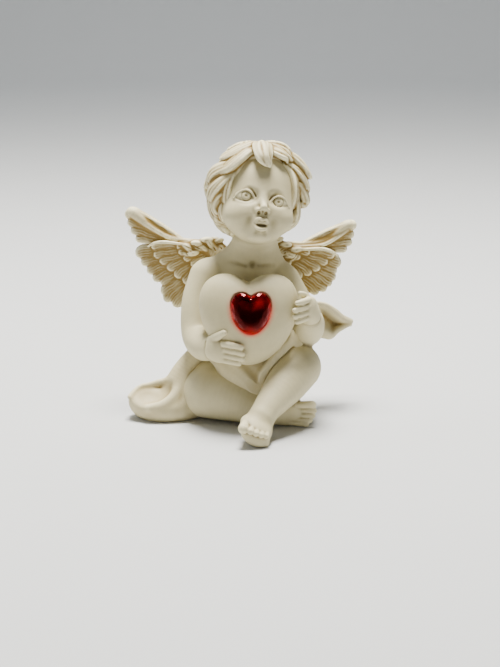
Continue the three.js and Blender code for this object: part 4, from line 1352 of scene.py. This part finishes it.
def area_light(name, place, target, size, power, tint):
    """A round lamp at place that faces target: size in metres and power in watts."""
    light = bpy.data.lights.new(name, "AREA")
    light.shape, light.size, light.energy, light.color = "DISK", size, power, tint
    lamp = bpy.data.objects.new(name, light)
    lamp.location = place
    way = np.array(target) - np.array(place)
    tilt, heading = np.arctan2(np.hypot(way[0], way[1]), -way[2]), np.arctan2(way[1], way[0])
    lamp.rotation_euler = (tilt, 0, heading - np.pi / 2)
    bpy.context.scene.collection.objects.link(lamp)


class CHERUB_OT_studio(Operator):
    """Set up the pale floor with its sweep, the soft lights and the camera"""

    bl_idname = "cherub.studio"
    bl_label = "Studio"

    def execute(self, context):
        # Floor and backdrop, in metres: a profile that is flat, turns up in a quarter circle and rises,
        # carried right round. The first fan of faces closes its middle, and the rim at the top stays open.
        bend = np.linspace(0, np.pi / 2, 16)
        flat, radius, rise = 0.85, 0.3, 1.0
        reach = np.concatenate([[0.001, 0.2, 0.5], flat + radius * np.sin(bend), [flat + radius]])
        height = np.concatenate([[0, 0, 0], radius - radius * np.cos(bend), [rise]])
        columns = 96
        turn = np.linspace(0, 2 * np.pi, columns, endpoint=False)[None, :]
        x, y = reach[:, None] * np.cos(turn), reach[:, None] * np.sin(turn)
        grid = np.stack([x, y, height[:, None] + 0 * turn], -1)
        quads, ends = tube_faces(len(reach), columns)
        faces = np.vstack([quads, ends[: len(ends) // 2]])
        mesh = new_mesh("floor_sweep", grid.reshape(-1, 3), faces, metres=True)
        mesh.polygons.foreach_set("use_smooth", np.full(len(mesh.polygons), True))
        floor = bpy.data.objects.new("floor_sweep", mesh)
        context.scene.collection.objects.link(floor)
        material, tree, shader = fresh_material("floor_paper")
        tone = np.array(colours().floor)
        paper = mixed(tree, noise(tree, 40.0), (*tone, 1), (*(0.97 * tone), 1))
        tree.links.new(paper, shader.inputs["Base Color"])
        shader.inputs["Roughness"].default_value = 0.85
        mesh.materials.append(material)
        middle = np.array([0.0, 0.0, 0.028])
        area_light("overhead", (0.0, 0.065, 0.42), middle, 0.17, 6.9, (1.0, 0.98, 0.93))
        area_light("window_left", (-0.40, 0.10, 0.26), middle, 0.24, 0.5, (0.94, 0.97, 1.0))
        area_light("front_fill", (0.10, -0.55, 0.22), middle, 0.40, 0.04, (1.0, 0.97, 0.92))
        area_light("backdrop_wash", (0.0, 0.75, 0.6), (0.0, 0.7, 0.0), 0.9, 3.2, (0.93, 0.97, 1.0))
        world = bpy.data.worlds.new("studio")
        world.use_nodes = True
        sky = world.node_tree.nodes["Background"]
        sky.inputs["Color"].default_value = (0.82, 0.86, 0.92, 1)
        sky.inputs["Strength"].default_value = 0.06
        context.scene.world = world
        lens = bpy.data.cameras.new("camera")
        lens.lens, lens.sensor_width, lens.clip_start = 72.0, 36.0, 0.01
        camera = bpy.data.objects.new("camera", lens)
        camera.location = in_metres((1.365, -246.72, 83.77))
        camera.rotation_euler = (np.radians(75.0), 0.0, 0.0)
        context.scene.collection.objects.link(camera)
        context.scene.camera = camera
        return {"FINISHED"}


# ---- Panel and running ---------------------------------------------------------------

STEPS = (
    CHERUB_OT_studio,
    CHERUB_OT_skin,
    CHERUB_OT_hair,
    CHERUB_OT_wings,
    CHERUB_OT_sash,
    CHERUB_OT_heart,
    CHERUB_OT_stone,
)


class CHERUB_PT_panel(Panel):
    """Lists the steps and the sizes"""

    bl_label = "Cherub figurine"
    bl_idname = "CHERUB_PT_panel"
    bl_space_type = "VIEW_3D"
    bl_region_type = "UI"
    bl_category = "Cherub"

    def draw(self, context):
        for step in STEPS:
            self.layout.operator(step.bl_idname)
        for group in (context.scene.cherub_sizes, context.scene.cherub_colours):
            for name in group.__annotations__:
                self.layout.prop(group, name)


CLASSES = (CherubSizes, CherubColours, *STEPS, CHERUB_PT_panel)


def register():
    for cls in CLASSES:
        bpy.utils.register_class(cls)
    bpy.types.Scene.cherub_sizes = PointerProperty(type=CherubSizes)
    bpy.types.Scene.cherub_colours = PointerProperty(type=CherubColours)


def unregister():
    del bpy.types.Scene.cherub_colours
    del bpy.types.Scene.cherub_sizes
    for cls in reversed(CLASSES):
        bpy.utils.unregister_class(cls)


def main():
    register()
    bpy.ops.cherub.studio()
    bpy.ops.cherub.skin()
    bpy.ops.cherub.hair()
    bpy.ops.cherub.wings()
    bpy.ops.cherub.sash()
    bpy.ops.cherub.heart()
    bpy.ops.cherub.stone()


if __name__ == "__main__":
    main()
